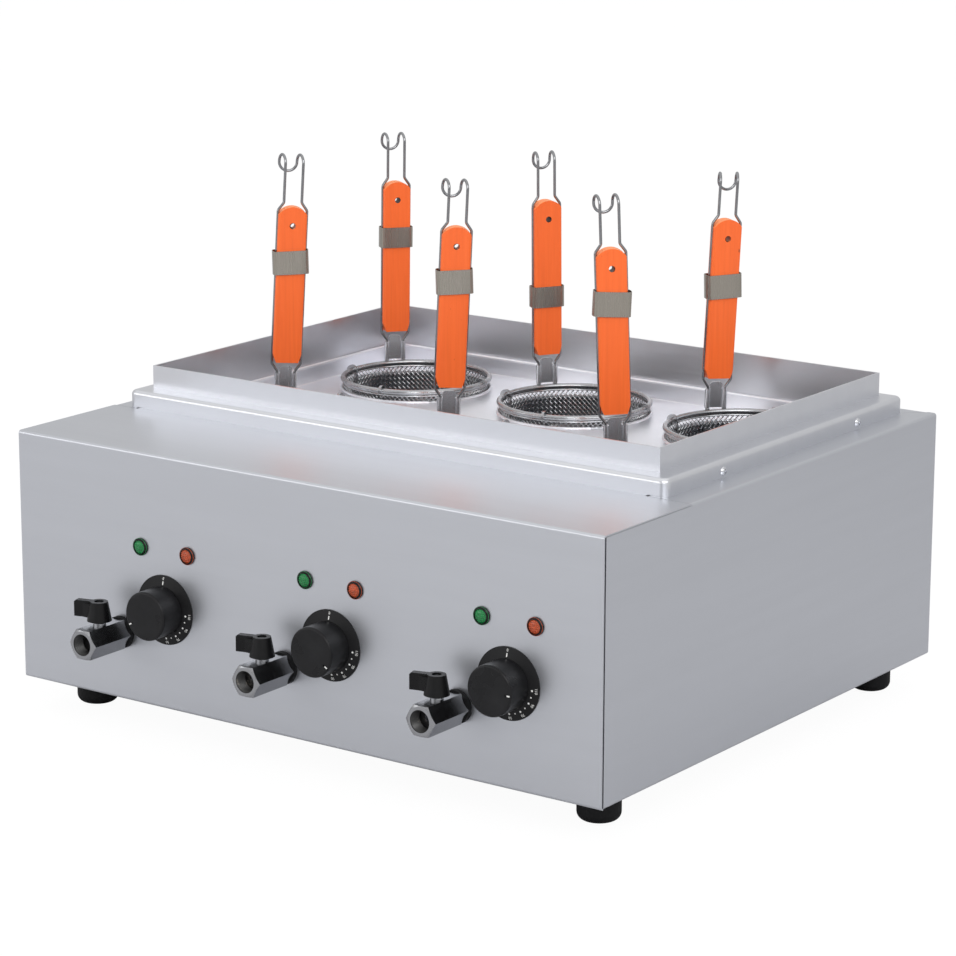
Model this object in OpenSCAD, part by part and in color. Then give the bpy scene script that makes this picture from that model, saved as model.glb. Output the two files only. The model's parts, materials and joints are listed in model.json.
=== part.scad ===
// Countertop pasta cooker with three wells and six lift-out strainer baskets.
// Millimetres. X runs left to right seen from the front, Y runs to the rear, Z is up.
// The feet stand on z = 0 and the origin is under the middle of the whole part.

/* [Body] */
// Width over the side panels
body_w = 600; // [590:1:620]
// Depth from the front panel to the rear panel
body_d = 522; // [518:1:540]
// Height of the panels without the feet
body_h = 219; // [214:1:235]
// Thickness of the panel sheet
sheet = 1.2; // [0.8:0.1:1.5]
// Outside radius of the folded edges
bend_r = 2.6; // [2:0.1:4]
// Open joint at the front corners
corner_gap = 1.8; // [1:0.1:2.5]
// Front deck's sheet short of the plinth
deck_margin = 2.6; // [0.6:0.1:4]
// Seam between two deck strips
deck_seam = 0.4; // [0.2:0.1:0.8]
// Width of the rear return of a side panel
side_return = 7.5; // [5:0.5:9]
// Depth of the bottom flange under the front and rear panels
floor_flange = 25; // [18:1:28]
// Number of slots in each row of the rear vent
vent_slots = 8; // [4:1:10]
// Length of one vent slot
vent_length = 36; // [20:1:44]
// Height of one vent slot
vent_height = 4; // [3:0.5:6]

/* [Feet] */
// Height of a rubber foot
foot_h = 28; // [20:1:35]
// Diameter of a foot at its top
foot_top_d = 36; // [30:1:38]
// Diameter of a foot where it stands
foot_base_d = 22; // [16:1:28]
// Foot centre from the side of the body
foot_side = 36.5; // [30:0.5:40]
// Foot centre from the front of the body
foot_front = 52; // [48:1:70]
// Foot centre from the rear of the body
foot_rear = 39; // [38:1:70]
// Diameter of the stud that holds a foot
stud_d = 8; // [6:0.5:10]

/* [Plinth and guard] */
// Plinth from the left side of the body
plinth_left = 14.4; // [12:0.1:17]
// Plinth from the right side of the body
plinth_right = 25.3; // [22:0.1:28]
// Plinth from the rear of the body
plinth_rear = 14.4; // [12:0.1:16]
// Height of the plinth above the deck
plinth_h = 15; // [12:0.5:20]
// Radius of the plinth's top edge
plinth_r = 4; // [2:0.5:5]
// Radius of the plinth's upright corners
plinth_corner = 7; // [6:0.5:9]
// Guard set back from the plinth on the left
guard_left = 12.4; // [10:0.1:14]
// Guard set back from the plinth on the right
guard_right = 18.3; // [16:0.1:20]
// Guard set back from the plinth at the front
guard_front = 18.9; // [16:0.1:21]
// Guard set back from the plinth at the rear
guard_rear = 10.9; // [10:0.1:13]
// Height of the guard above the plinth
guard_h = 20; // [15:0.5:30]
// Thickness of the plinth and guard sheet
guard_t = 1.5; // [1:0.1:2]
// Width of the lip that carries the wells
lip_w = 6.5; // [5:0.1:7]

/* [Wells] */
// Depth of a well below the tray
well_depth = 155; // [148:1:160]
// Radius of a well's upright corners
well_corner = 8; // [7:0.5:14]
// Radius of a well's bottom edge
well_fillet = 6; // [4:0.5:6.5]
// Flange round the top of a well
well_flange = 7.5; // [7.1:0.1:9]
// Outside diameter of a drain pipe
drain_d = 20; // [18:0.5:21]
// Joint of drain pipe and valve behind the front face
drain_joint = 25; // [18:1:40]
// Bore of a drain pipe
drain_bore = 15; // [12:0.5:15.5]
// Diameter of a heating tube
heater_d = 8.5; // [6:0.5:10]
// Spacing of the two legs of a heating tube
heater_span = 84; // [60:1:100]
// Heating tube above the bottom of its well
heater_lift = 20; // [14:1:24]

/* [Tray] */
// Depth of the tray from rim to plate
tray_depth = 17; // [15:0.5:18]
// Rim of the tray below the deck
tray_drop = 1; // [0:0.5:3]
// Thickness of the tray sheet
tray_t = 1.5; // [1.2:0.1:2]
// Gap between the tray and the guard
tray_gap = 1.2; // [0.8:0.1:2]
// Radius of the tray's upright corners
tray_corner = 8; // [5:0.5:10]
// Radius of the raised bead round a basket hole
bead_r = 1.4; // [1:0.1:1.4]
// Clearance between a basket and its hole
hole_gap = 0.3; // [0.2:0.1:0.8]

/* [Baskets] */
// Spacing of the basket columns beyond that of the wells
column_spread = 1.467; // [0:0.001:2]
// Spacing of the two basket rows
row_pitch = 180; // [170:1:184]
// Basket columns right of the middle of their wells
column_shift = 5.4; // [0:0.2:6]
// Room between the guard and the rings of the front row
front_room = 10; // [5:0.2:20]
// Room between the guard and the rings of the rear row
rear_room = 19.2; // [5:0.2:25]
// Outside diameter of a basket ring
ring_d = 140; // [134:1:142]
// Diameter of the ring's wire
ring_wire = 5; // [4:0.5:6]
// Ring above the tray plate
ring_lift = 9; // [7:0.5:11]
// Depth of the tapered part of the strainer
taper_depth = 72; // [50:1:78]
// Slope of the strainer's taper from the upright, in degrees
taper_a = 6.3; // [5:0.1:8]
// Radius of the strainer's round bottom
bowl_r = 45; // [40:1:48]
// Thickness of the strainer's woven wall, two wires deep
mesh_t = 1.8; // [1.6:0.1:2]
// Size of the two square wires that cross inside a strainer
cross_wire = 2.5; // [2:0.1:2.8]
// Room between wires that lie against each other
wire_gap = 0.15; // [0.1:0.05:0.3]

/* [Handles] */
// Length of the wooden grip
grip_len = 141.5; // [130:0.5:160]
// Width of the grip
grip_w = 26; // [25:0.5:30]
// Thickness of the grip
grip_t = 12; // [10:0.5:14]
// Width of the grip at its lower end
grip_foot = 20; // [17:0.5:22]
// Height of the tapered lower end
grip_taper = 8; // [6:0.5:14]
// Radius of the grip's round top
grip_top_r = 15; // [14:0.5:20]
// Radius of the grip's long edges
grip_edge = 2.5; // [1:0.5:4]
// Diameter of the hole near the top
grip_hole = 5.5; // [4:0.5:7]
// Hole below the top of the grip
grip_hole_drop = 17; // [12:0.5:22]
// Foot of the grip above the ring
grip_lift = 31; // [29:0.5:36]
// Diameter of the handle's wire
frame_wire = 2.5; // [2:0.1:3]
// Spacing of the two wires in the bracket and the hook
frame_span = 16; // [14:0.5:17]
// Angle at which the wires spread to the sides of the grip
spread_angle = 36; // [28:1:40]
// Bend radius of the handle's wire
frame_bend = 4; // [3:0.5:5]
// Height of the hook above the grip
hook_h = 43.5; // [35:0.5:55]
// Radius at which the hook turns over
hook_r = 7.5; // [5:0.5:9]
// Height of the sheet bracket
bracket_h = 23; // [18:0.5:25]
// Height of the bracket's rolled sleeves
sleeve_h = 17; // [13:0.5:17]
// Height of the steel band
band_h = 19; // [14:0.5:24]
// Thickness of the steel band
band_t = 0.8; // [0.6:0.1:1.2]

/* [Controls] */
// Knobs right of the middle of their wells
knob_shift = 45; // [40:0.5:50]
// Knob axis above the bottom of the body
knob_z = 87; // [82:0.5:92]
// Diameter of a knob
knob_d = 42; // [38:0.5:46]
// Length of a knob
knob_len = 23; // [18:0.5:28]
// Diameter of a dial ring
dial_d = 60; // [54:0.5:64]
// Thickness of a dial ring
dial_t = 3; // [2:0.2:4]
// Diameter of the thermostat shaft
shaft_d = 6; // [5:0.5:7]
// Lamp axis above the bottom of the body
lamp_z = 137.6; // [132:0.2:145]
// Spacing of the green and the amber lamp
lamp_span = 51; // [44:0.5:58]
// Diameter of a lamp's collar
lamp_d = 15; // [13:0.5:18]
// Diameter of a lamp's lens
lens_d = 11.5; // [10:0.5:12]

/* [Drain valves] */
// Valve axis above the bottom of its well
valve_rise = 15; // [13:0.5:19]
// Valves left of the middle of their wells
valve_shift = 4; // [0:0.5:8]
// Size of the valve's hexagon across flats
hex_af = 25; // [24:0.5:27]
// Length of the hexagon
hex_len = 45; // [40:0.5:50]
// Thread core of the valve's outlet
outlet_d = 18.6; // [17:0.1:19]
// Chamfer of the hexagon's front corners
hex_chamfer = 1.6; // [1:0.1:2]
// Depth of the outlet's thread
outlet_depth = 14; // [10:0.5:15]
// Diameter of the ball
ball_d = 17; // [15:0.5:18]
// Port through the ball
port_d = 10; // [8:0.5:11]
// Diameter of the valve stem
stem_d = 6; // [5:0.5:7]
// Thickness of the gasket behind the hexagon
gasket_t = 5; // [3:0.5:7]
// Diameter of the gasket
gasket_d = 28; // [26:0.5:32]
// Height of the lever
lever_h = 16.5; // [12:0.5:20]
// Lever tip from the stem
lever_len = 22; // [18:0.5:30]
// Diameter of the lever's hub at its foot
hub_d = 21; // [18:0.5:22]
// Diameter of the lever's hub at its top
hub_top_d = 15; // [12:0.5:17]
// Thickness of the lever's blade
blade_t = 6; // [4:0.5:7]
// Blade above the foot of the hub
blade_lift = 2.5; // [1:0.5:4]
// Lever above the hexagon
lever_lift = 4; // [3:0.5:6]
// Clearance round the ball and the stem
valve_gap = 0.3; // [0.2:0.05:0.4]

/* [Hidden] */
$fn = 48;
eps = 0.01;
// Turn of each basket in its hole, front then rear, from the left
basket_turn = [136, 144, 132, 146, 133, 143];
// Sideways lean of each handle
handle_lean = [3, 0.6, 2.5, -0.6, -2.2, 2.6];
// Turn of each hook from the way its handle faces, and its height beside the usual one
hook_turn = [15, 6, 17, -4, 11, -15];
hook_rise = [3, 1.5, -3, 0, 1, -3];
// Middle of each steel band below the top of its grip
band_drop = [50, 52, 48, 88, 47, 59];
// Turn of each knob's pointer, clockwise from the top
knob_turn = [241, 122, 92];
// Turn of the levers from the closed position
lever_turn = 15;

// Rear vent: bridge between two slots and spacing of the two rows
vent_bridge = 10;
vent_row = 24;

// Nut on a foot's stud
stud_nut = 1.5;

// Thermostat behind the panel
switch_w = 36;
switch_d = 22;
switch_h = 32;
capillary_d = 2.4;
bulb_d = 6;
bulb_len = 80;
bulb_nut_d = 11;
bulb_nut = 5;

// Rear gland: hexagon, cap and the neck through the panel
gland_d = 20;
gland_len = 22;
gland_bore = 10;
gland_hex = 6;
gland_cap = 9;
gland_chamfer = 3;
gland_neck_d = 14;
gland_neck = 10;
gland_side = 90;
gland_x = body_w / 2 - gland_side;
gland_z = 45;

// Place of the front face, so that the whole part is centred on the origin
valve_reach = gasket_t + hex_len;
front_y = -(body_d + gland_len - valve_reach) / 2;
deck_z = foot_h + body_h;
half_w = body_w / 2;

// Plinth and guard outlines: the guard stands round the baskets and the front deck takes the rest
plinth_x0 = -half_w + plinth_left;
plinth_x1 = half_w - plinth_right;
plinth_y1 = body_d - plinth_rear;
guard_y1 = plinth_y1 - guard_rear;
guard_y0 = guard_y1 - 2 * guard_t - rear_room - row_pitch - ring_d - front_room;
plinth_front = guard_y0 - guard_front;
deck_front = plinth_front - deck_margin;
plinth_top_w = plinth_x1 - plinth_x0 - 2 * plinth_corner;
plinth_top_d = plinth_y1 - plinth_front - 2 * plinth_corner;
guard_x0 = plinth_x0 + guard_left;
guard_x1 = plinth_x1 - guard_right;
guard_mid_x = (guard_x0 + guard_x1) / 2;
guard_mid_y = (guard_y0 + guard_y1) / 2;
guard_in_w = guard_x1 - guard_x0 - 2 * guard_t;
guard_in_d = guard_y1 - guard_y0 - 2 * guard_t;
guard_top = deck_z + plinth_h + guard_h;

// Deck strips end short of the guard
strip_gap = 3;
strip_left = plinth_left + guard_left - strip_gap;
strip_right = plinth_right + guard_right - strip_gap;
strip_rear = plinth_rear + guard_rear - strip_gap;
side_start = sheet + corner_gap;
foot_flange = foot_side + foot_top_d / 2 + 6;

// Screws through the sides of the plinth
screw_d = 4;
screw_head_d = 8;
screw_head_h = 2.4;
screw_len = 8;
screw_slot = 1;
screw_front = 85;
screw_rear = 80;
screw_y = [plinth_front + screw_front, plinth_y1 - screw_rear];
screw_z = deck_z + (plinth_h - plinth_r) / 2;

// Levels of tray, wells and guard lip
rim_z = deck_z - tray_drop;
plate_z = rim_z - tray_depth;
well_top = plate_z - tray_t;
lip_top = well_top - sheet;
lip_bottom = lip_top - guard_t;
well_bottom = well_top - well_depth;
ring_z = plate_z + ring_lift;
valve_z = well_bottom + valve_rise;

// Fold round the tray's plate and middle of the bead above it
fold_inside = 0.8;
tray_fold = tray_t + fold_inside;
bead_lift = 0.1;

// Wells share the space inside the guard
well_joint = 0.3;
well_pitch = guard_in_w / 3;
well_w = well_pitch - 2 * well_flange - well_joint;
well_l = guard_in_d - 2 * well_flange - 2 * well_joint;
well_y0 = guard_mid_y - well_l / 2;
well_y1 = guard_mid_y + well_l / 2;
function well_x(i) = guard_mid_x + (i - 1) * well_pitch;
function knob_x(i) = well_x(i) + knob_shift;
function valve_x(i) = well_x(i) - valve_shift;
heater_z = well_bottom + sheet + heater_lift;
// Drain pipe standing into the well past its rounded bottom edge
spigot = 3;
// Heating tube: front of the bend, length behind the well and its nuts
heater_inset = 30;
heater_tail = 24;
heater_nut = 6;
heater_nut_d = 13.5;

// Basket places: columns from the left, front row then rear row
function basket_x(b) = let (c = floor(b / 2)) well_x(c) + column_shift + (c - 1) * column_spread;
function basket_y(b) = guard_y0 + guard_t + front_room + ring_d / 2 + (b % 2) * row_pitch;

// Strainer profile, measured from the middle of the ring
ring_r = (ring_d - ring_wire) / 2;
mesh_top = -ring_wire / 2 - wire_gap;
mesh_out = 0.5;
mesh_r = ring_r + mesh_out;
taper_end = [mesh_r - taper_depth * tan(taper_a), mesh_top - taper_depth];
bowl_c = taper_end + bowl_r * [-cos(taper_a), sin(taper_a)];
bowl_low = bowl_c[1] - bowl_r;
hole_r = mesh_r - (ring_lift + mesh_top) * tan(taper_a) + hole_gap;
taper_lap = 0.5;
strap_inner = bowl_r - mesh_t - cross_wire / 2 - wire_gap;
strap_hook = ring_wire / 2 + cross_wire / 2 + wire_gap;
bend_steps = 12;

// Handle: gap under the bracket, its wall, its web and the corners of the band
bracket_gap = 0.6;
bracket_wall = 1.2;
bracket_web = 0.8;
web_w = 12;
web_corner = 2;
band_r = 3;

// Handle wire: gap for the weld, place outside the ring's middle line,
// start of the spread below the grip and its end above the grip
weld_gap = 0.7;
handle_out = 0.5;
spread_drop = 10;
spread_top = 4.5;
wire_side = grip_w / 2;
spread = wire_side - frame_span / 2;
spread_run = (spread - 2 * frame_bend * (1 - cos(spread_angle))) / sin(spread_angle);
spread_rise = 2 * frame_bend * sin(spread_angle) + spread_run * cos(spread_angle);
handle_foot = ring_wire / 2 + weld_gap;
grip_top = grip_lift + grip_len;
spread_start = grip_lift - spread_drop;
straight_end = grip_top + spread_top - spread_rise;
hook_start = grip_top + hook_h - frame_wire / 2 - hook_r;
handle_r = ring_r + handle_out;

// Rim of a dial ring
dial_rim = 0.8;

// Lamps
collar_t = 1.6;
lens_rise = 2.2;
lamp_barrel = 26;

// Knob: radius of the front edge and the notch that serves as pointer
knob_edge = 2;
notch_w = 1.6;
notch_len = 6;
notch_t = 1;

// Lever: corner of the blade, flare of the blade into the hub, screw recess and depth of the stem in the hub
blade_corner = 1.5;
flare_len = 14;
flare_gap = 0.5;
lever_screw_d = 8;
lever_screw_t = 2;
stem_grip = 5;

// Hexagon over its corners, radius of its turned front face and wall of the stem's boss
hex_d = hex_af / cos(30);
hex_front = hex_af / 2 - hex_chamfer / 2;
boss_wall = 2.5;

// Valve and control depths, measured from the front face
stem_y = -gasket_t - hex_len / 2;
lever_z = hex_af / 2 + lever_lift;
knob_gap = 0.5;
knob_y = -dial_t - knob_gap;
shaft_len = 14;
shaft_gap = 0.3;
panel_hole_gap = 0.5;

// Shared shapes

// Moves a piece from front-face coordinates into the part's frame
module placed() translate([0, front_y, 0]) children();

// Quarter of a ring in the first quadrant
module quarter_ring(r, t) intersection() {
  difference() {
    circle(r);
    circle(r - t);
  }
  square(r);
}

// Sheet folded at its top and its bottom, outer face on the Y axis
module channel(h, top, bottom, t, r) {
  translate([0, r]) square([t, h - 2 * r]);
  translate([r, h - t]) square([top - r, t]);
  translate([r, 0]) square([bottom - r, t]);
  translate([r, h - r]) mirror([1, 0]) quarter_ring(r, t);
  translate([r, r]) rotate(180) quarter_ring(r, t);
}

// Runs a profile round a rectangle with round corners
module ring_frame(x0, y0, x1, y1, r) {
  translate([x0 + r, y0 + r, 0]) rotate(180) rotate_extrude(angle = 90) children();
  translate([x1 - r, y0 + r, 0]) rotate(270) rotate_extrude(angle = 90) children();
  translate([x1 - r, y1 - r, 0]) rotate_extrude(angle = 90) children();
  translate([x0 + r, y1 - r, 0]) rotate(90) rotate_extrude(angle = 90) children();
  translate([x1 - r, y1 - r, 0]) rotate([90, 0, 0]) linear_extrude(y1 - y0 - 2 * r) children();
  translate([x0 + r, y0 + r, 0]) rotate([90, 0, 180]) linear_extrude(y1 - y0 - 2 * r) children();
  translate([x0 + r, y1 - r, 0]) rotate([90, 0, 90]) linear_extrude(x1 - x0 - 2 * r) children();
  translate([x1 - r, y0 + r, 0]) rotate([90, 0, 270]) linear_extrude(x1 - x0 - 2 * r) children();
}

// Round rod along Y, starting at the front
module rod_y(d, l) rotate([-90, 0, 0]) cylinder(d = d, h = l);

// Bent wire: each step is a straight length, a bend radius, a bend angle and a roll before it
module bent_wire(d, steps, i = 0) {
  if (i < len(steps)) {
    run = steps[i][0];
    r = steps[i][1];
    a = steps[i][2];
    if (run > 0) cylinder(d = d, h = run);
    translate([0, 0, run]) rotate(steps[i][3]) {
      if (a > 0) {
        translate([r, 0, 0]) rotate([90, 0, 180]) rotate_extrude(angle = a) translate([r, 0]) circle(d = d);
      }
      translate([r * (1 - cos(a)), 0, r * sin(a)]) rotate([0, a, 0]) bent_wire(d, steps, i + 1);
    }
  }
}

// Rectangle with round corners, centred
module round_rect(w, d, r) {
  square([w - 2 * r, d], center = true);
  square([w, d - 2 * r], center = true);
  for (x = [-1, 1], y = [-1, 1]) translate([x * (w / 2 - r), y * (d / 2 - r)]) circle(r);
}

// Body panels

module front_panel() color("silver") placed() difference() {
  union() {
    translate([-half_w, 0, foot_h]) rotate([90, 0, 90]) linear_extrude(body_w)
      channel(body_h, deck_front, floor_flange, sheet, bend_r);
    translate([guard_x0, deck_front - eps, deck_z - sheet])
      cube([guard_x1 - guard_x0, guard_y0 - strip_gap - deck_front, sheet]);
  }
  for (s = [-1, 1]) translate([s * half_w, 0, foot_h - 1])
    translate([-bend_r - deck_seam, side_start - deck_seam, 0])
      cube([2 * (bend_r + deck_seam), floor_flange, bend_r + 1]);
  for (i = [0:2]) {
    translate([knob_x(i), -1, foot_h + knob_z]) rod_y(shaft_d + 2 * panel_hole_gap, sheet + 2);
    translate([valve_x(i), -1, valve_z]) rod_y(drain_d + 2 * panel_hole_gap, sheet + 2);
    for (s = [-1, 1]) translate([knob_x(i) + s * lamp_span / 2, -1, foot_h + lamp_z])
      rod_y(lens_d + 2 * panel_hole_gap, sheet + 2);
  }
}

// Left-hand side panel with its outer face at x = 0
module side_panel(strip) difference() {
  union() {
    translate([0, body_d, 0]) rotate([90, 0, 0]) linear_extrude(body_d - side_start)
      channel(body_h, strip, foot_flange, sheet, bend_r);
    translate([0, body_d - sheet, bend_r]) cube([side_return, sheet, body_h - 2 * bend_r]);
    translate([0, side_start, bend_r]) cube([2 * side_return, sheet, body_h - 2 * bend_r - sheet]);
  }
  translate([-1, 0, body_h - sheet - deck_seam])
    cube([strip + 2, deck_front + deck_seam, bend_r]);
  translate([sheet, 0, -1]) cube([foot_flange, floor_flange + deck_seam, bend_r + 1]);
  translate([sheet, body_d - floor_flange - deck_seam, -1])
    cube([foot_flange, floor_flange + 1, bend_r + 1]);
  translate([side_return, body_d, body_h - sheet - eps]) rotate(-45)
    translate([-body_d / 2, 0, 0]) cube([body_d, body_d, bend_r]);
  for (y = [foot_front, body_d - foot_rear]) translate([foot_side, y, -1])
    cylinder(d = stud_d + 2 * panel_hole_gap, h = sheet + 2);
}

module left_side_panel() color("silver") placed()
  translate([-half_w, 0, foot_h]) side_panel(strip_left);

module right_side_panel() color("silver") placed()
  translate([half_w, 0, foot_h]) mirror([1, 0, 0]) side_panel(strip_right);

module rear_panel() color("silver") placed() difference() {
  rear_w = body_w - 2 * side_return - 2 * deck_seam;
  translate([rear_w / 2, body_d, foot_h]) rotate([90, 0, 270]) linear_extrude(rear_w)
    channel(body_h, strip_rear, floor_flange, sheet, bend_r);
  for (s = [0, 1]) mirror([s, 0, 0]) translate([-rear_w / 2, body_d, deck_z - sheet - eps]) rotate(-45)
    translate([0, -body_d, 0]) cube([body_d, body_d, bend_r]);
  for (row = [0:1], k = [0:vent_slots - 1])
    translate([(k - (vent_slots - 1) / 2) * (vent_length + vent_bridge) - vent_length / 2, body_d - sheet - 1,
      foot_h + body_h / 2 + row * vent_row]) cube([vent_length, sheet + 2, vent_height]);
  translate([gland_x, body_d - sheet - 1, foot_h + gland_z])
    rod_y(gland_neck_d + 2 * panel_hole_gap, sheet + 2);
}

module base_plate() color("gainsboro") placed() difference() {
  margin = 3 * side_return;
  translate([-half_w + margin, side_start + 2, foot_h + sheet])
    cube([body_w - 2 * margin, body_d - 2 * side_start - 4, sheet]);
  for (s = [-1, 1], y = [foot_front, body_d - foot_rear])
    translate([s * (half_w - foot_side), y, foot_h])
      cylinder(d = stud_d + 2 * panel_hole_gap, h = 3 * sheet);
}

module foot() rotate_extrude() {
  bulge = (foot_top_d - foot_base_d) / 2;
  square([foot_base_d / 2, foot_h]);
  translate([0, bulge]) square([foot_top_d / 2, foot_h - bulge]);
  translate([foot_base_d / 2, bulge]) circle(bulge);
  translate([0, foot_h - eps]) square([stud_d / 2, 4 * sheet + eps]);
  translate([0, foot_h + 2 * sheet + wire_gap]) square([stud_d / 2 + stud_nut, 2 * sheet]);
}

module rubber_feet() color("#1a1a1c") placed()
  for (s = [-1, 1], y = [foot_front, body_d - foot_rear])
    translate([s * (half_w - foot_side), y, 0]) foot();

// Plinth, guard and tray

module plinth_section() {
  translate([plinth_corner - guard_t, 0]) square([guard_t, plinth_h - plinth_r]);
  translate([0, plinth_h - guard_t]) square([plinth_corner - plinth_r, guard_t]);
  translate([plinth_corner - plinth_r, plinth_h - plinth_r]) quarter_ring(plinth_r, guard_t);
}

module plinth_frame() color("silver") placed() difference() {
  translate([0, 0, deck_z]) {
    ring_frame(plinth_x0, plinth_front, plinth_x1, plinth_y1, plinth_corner) plinth_section();
    difference() {
      translate([plinth_x0 + plinth_corner, plinth_front + plinth_corner, plinth_h - guard_t])
        cube([plinth_top_w, plinth_top_d, guard_t]);
      translate([guard_x0, guard_y0, 0]) cube([guard_x1 - guard_x0, guard_y1 - guard_y0, 2 * plinth_h]);
    }
  }
  for (y = screw_y) translate([-half_w, y, screw_z]) rotate([0, 90, 0])
    cylinder(d = screw_d + 2 * wire_gap, h = body_w);
}

module splash_guard() color("silver") placed() difference() {
  translate([guard_x0, guard_y0, lip_bottom])
    cube([guard_x1 - guard_x0, guard_y1 - guard_y0, guard_top - lip_bottom]);
  translate([guard_x0 + guard_t, guard_y0 + guard_t, lip_top])
    cube([guard_in_w, guard_in_d, guard_top]);
  translate([guard_x0 + guard_t + lip_w, guard_y0 + guard_t + lip_w, lip_bottom - 1])
    cube([guard_in_w - 2 * lip_w, guard_in_d - 2 * lip_w, guard_top]);
}

// Pan-head screw, head outward along +X, seat at x = 0
module plinth_screw() difference() {
  crown = (pow(screw_head_d / 2, 2) + pow(screw_head_h, 2)) / (2 * screw_head_h);
  rotate([0, 90, 0]) {
    rotate_extrude() intersection() {
      translate([0, screw_head_h - crown]) circle(crown);
      square([screw_head_d / 2, screw_head_h]);
    }
    translate([0, 0, -screw_len]) cylinder(d = screw_d, h = screw_len + eps);
  }
  translate([screw_head_h / 2, -screw_d / 2, -screw_slot / 2]) cube([screw_head_h, screw_d, screw_slot]);
  translate([screw_head_h / 2, -screw_slot / 2, -screw_d / 2]) cube([screw_head_h, screw_slot, screw_d]);
}

module plinth_screws() color("gainsboro") placed() for (y = screw_y) {
  translate([plinth_x1, y, screw_z]) plinth_screw();
  translate([plinth_x0, y, screw_z]) mirror([1, 0, 0]) plinth_screw();
}

module tray_section() {
  square([tray_corner - tray_fold, tray_t]);
  translate([tray_corner - tray_fold, tray_fold]) rotate(270) quarter_ring(tray_fold, tray_t);
  translate([tray_corner - tray_t, tray_fold])
    square([tray_t, tray_depth + tray_t - tray_fold - bead_r]);
  translate([tray_corner - bead_r, tray_depth + tray_t - bead_r]) circle(bead_r);
}

module basket_tray() color("gainsboro") placed() {
  x0 = guard_x0 + guard_t + tray_gap;
  x1 = guard_x1 - guard_t - tray_gap;
  y0 = guard_y0 + guard_t + tray_gap;
  y1 = guard_y1 - guard_t - tray_gap;
  difference() {
    union() {
      translate([0, 0, plate_z - tray_t]) ring_frame(x0, y0, x1, y1, tray_corner) tray_section();
      translate([x0 + tray_corner, y0 + tray_corner, plate_z - tray_t])
        cube([x1 - x0 - 2 * tray_corner, y1 - y0 - 2 * tray_corner, tray_t]);
      for (b = [0:5]) translate([basket_x(b), basket_y(b), plate_z]) rotate_extrude()
        translate([hole_r + bead_r, bead_lift]) circle(bead_r);
    }
    for (b = [0:5]) translate([basket_x(b), basket_y(b), plate_z - tray_t - 1])
      cylinder(r = hole_r, h = 2 * tray_t + 4);
  }
}

// Wells with their drains, heaters and thermostats

module well_section() {
  h = well_top - well_bottom;
  square([well_corner - well_fillet, sheet]);
  translate([well_corner - well_fillet, well_fillet]) rotate(270) quarter_ring(well_fillet, sheet);
  translate([well_corner - sheet, well_fillet]) square([sheet, h - well_fillet]);
  translate([well_corner, h - sheet]) square([well_flange, sheet]);
}

module well(i) color("gainsboro") placed() difference() {
  x0 = well_x(i) - well_w / 2;
  x1 = well_x(i) + well_w / 2;
  union() {
    translate([0, 0, well_bottom]) ring_frame(x0, well_y0, x1, well_y1, well_corner) well_section();
    translate([x0 + well_corner, well_y0 + well_corner, well_bottom])
      cube([well_w - 2 * well_corner, well_l - 2 * well_corner, sheet]);
    translate([valve_x(i), drain_joint, valve_z])
      rod_y(drain_d, well_y0 - drain_joint + spigot);
  }
  translate([valve_x(i), drain_joint - 1, valve_z])
    rod_y(drain_bore, well_y0 - drain_joint + spigot + 2);
  for (s = [-1, 1]) translate([well_x(i) + s * heater_span / 2, well_y1 - 3 * sheet, heater_z])
    rod_y(heater_d + 2 * panel_hole_gap, 6 * sheet);
  translate([knob_x(i), well_y0 - sheet, foot_h + knob_z])
    rod_y(bulb_d + 2 * panel_hole_gap, 3 * sheet);
}

module well_1() well(0);
module well_2() well(1);
module well_3() well(2);

// Hairpin heating tube with a nut on each leg behind the well
module heating_element(i) color("dimgray") placed() translate([well_x(i), 0, heater_z]) {
  turn_y = well_y0 + heater_inset + heater_span / 2;
  for (s = [-1, 1]) translate([s * heater_span / 2, turn_y, 0])
    rod_y(heater_d, well_y1 + heater_tail - turn_y);
  translate([0, turn_y, 0]) rotate(180) rotate_extrude(angle = 180)
    translate([heater_span / 2, 0]) circle(d = heater_d);
  for (s = [-1, 1]) translate([s * heater_span / 2, well_y1, 0]) rod_y(heater_nut_d, heater_nut);
}

module heating_element_1() heating_element(0);
module heating_element_2() heating_element(1);
module heating_element_3() heating_element(2);

// Thermostat behind the panel with its tube and its sensing bulb in the well
module thermostat(i) color("darkgray") placed() translate([knob_x(i), 0, foot_h + knob_z]) {
  difference() {
    translate([-switch_w / 2, sheet, -switch_h / 2]) cube([switch_w, switch_d, switch_h]);
    rod_y(shaft_d + 2 * shaft_gap, knob_y + shaft_len + knob_gap);
  }
  translate([0, sheet + switch_d - eps, 0]) rod_y(capillary_d, well_y0 - sheet - switch_d + bulb_d);
  translate([0, well_y0 - bulb_nut, 0]) rod_y(bulb_nut_d, bulb_nut);
  translate([0, well_y0 - eps, 0]) rod_y(bulb_d, bulb_len);
}

module thermostat_1() thermostat(0);
module thermostat_2() thermostat(1);
module thermostat_3() thermostat(2);

// Controls on the front panel

module dial_rings() color("#202022") placed() for (i = [0:2])
  translate([knob_x(i), 0, foot_h + knob_z]) rotate([90, 0, 0]) difference() {
    rotate_extrude() polygon([[0, 0], [dial_d / 2, 0], [dial_d / 2, dial_rim], [knob_d / 2, dial_t],
      [0, dial_t]]);
    translate([0, 0, -1]) cylinder(d = shaft_d + 2 * panel_hole_gap, h = dial_t + 2);
  }

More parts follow.
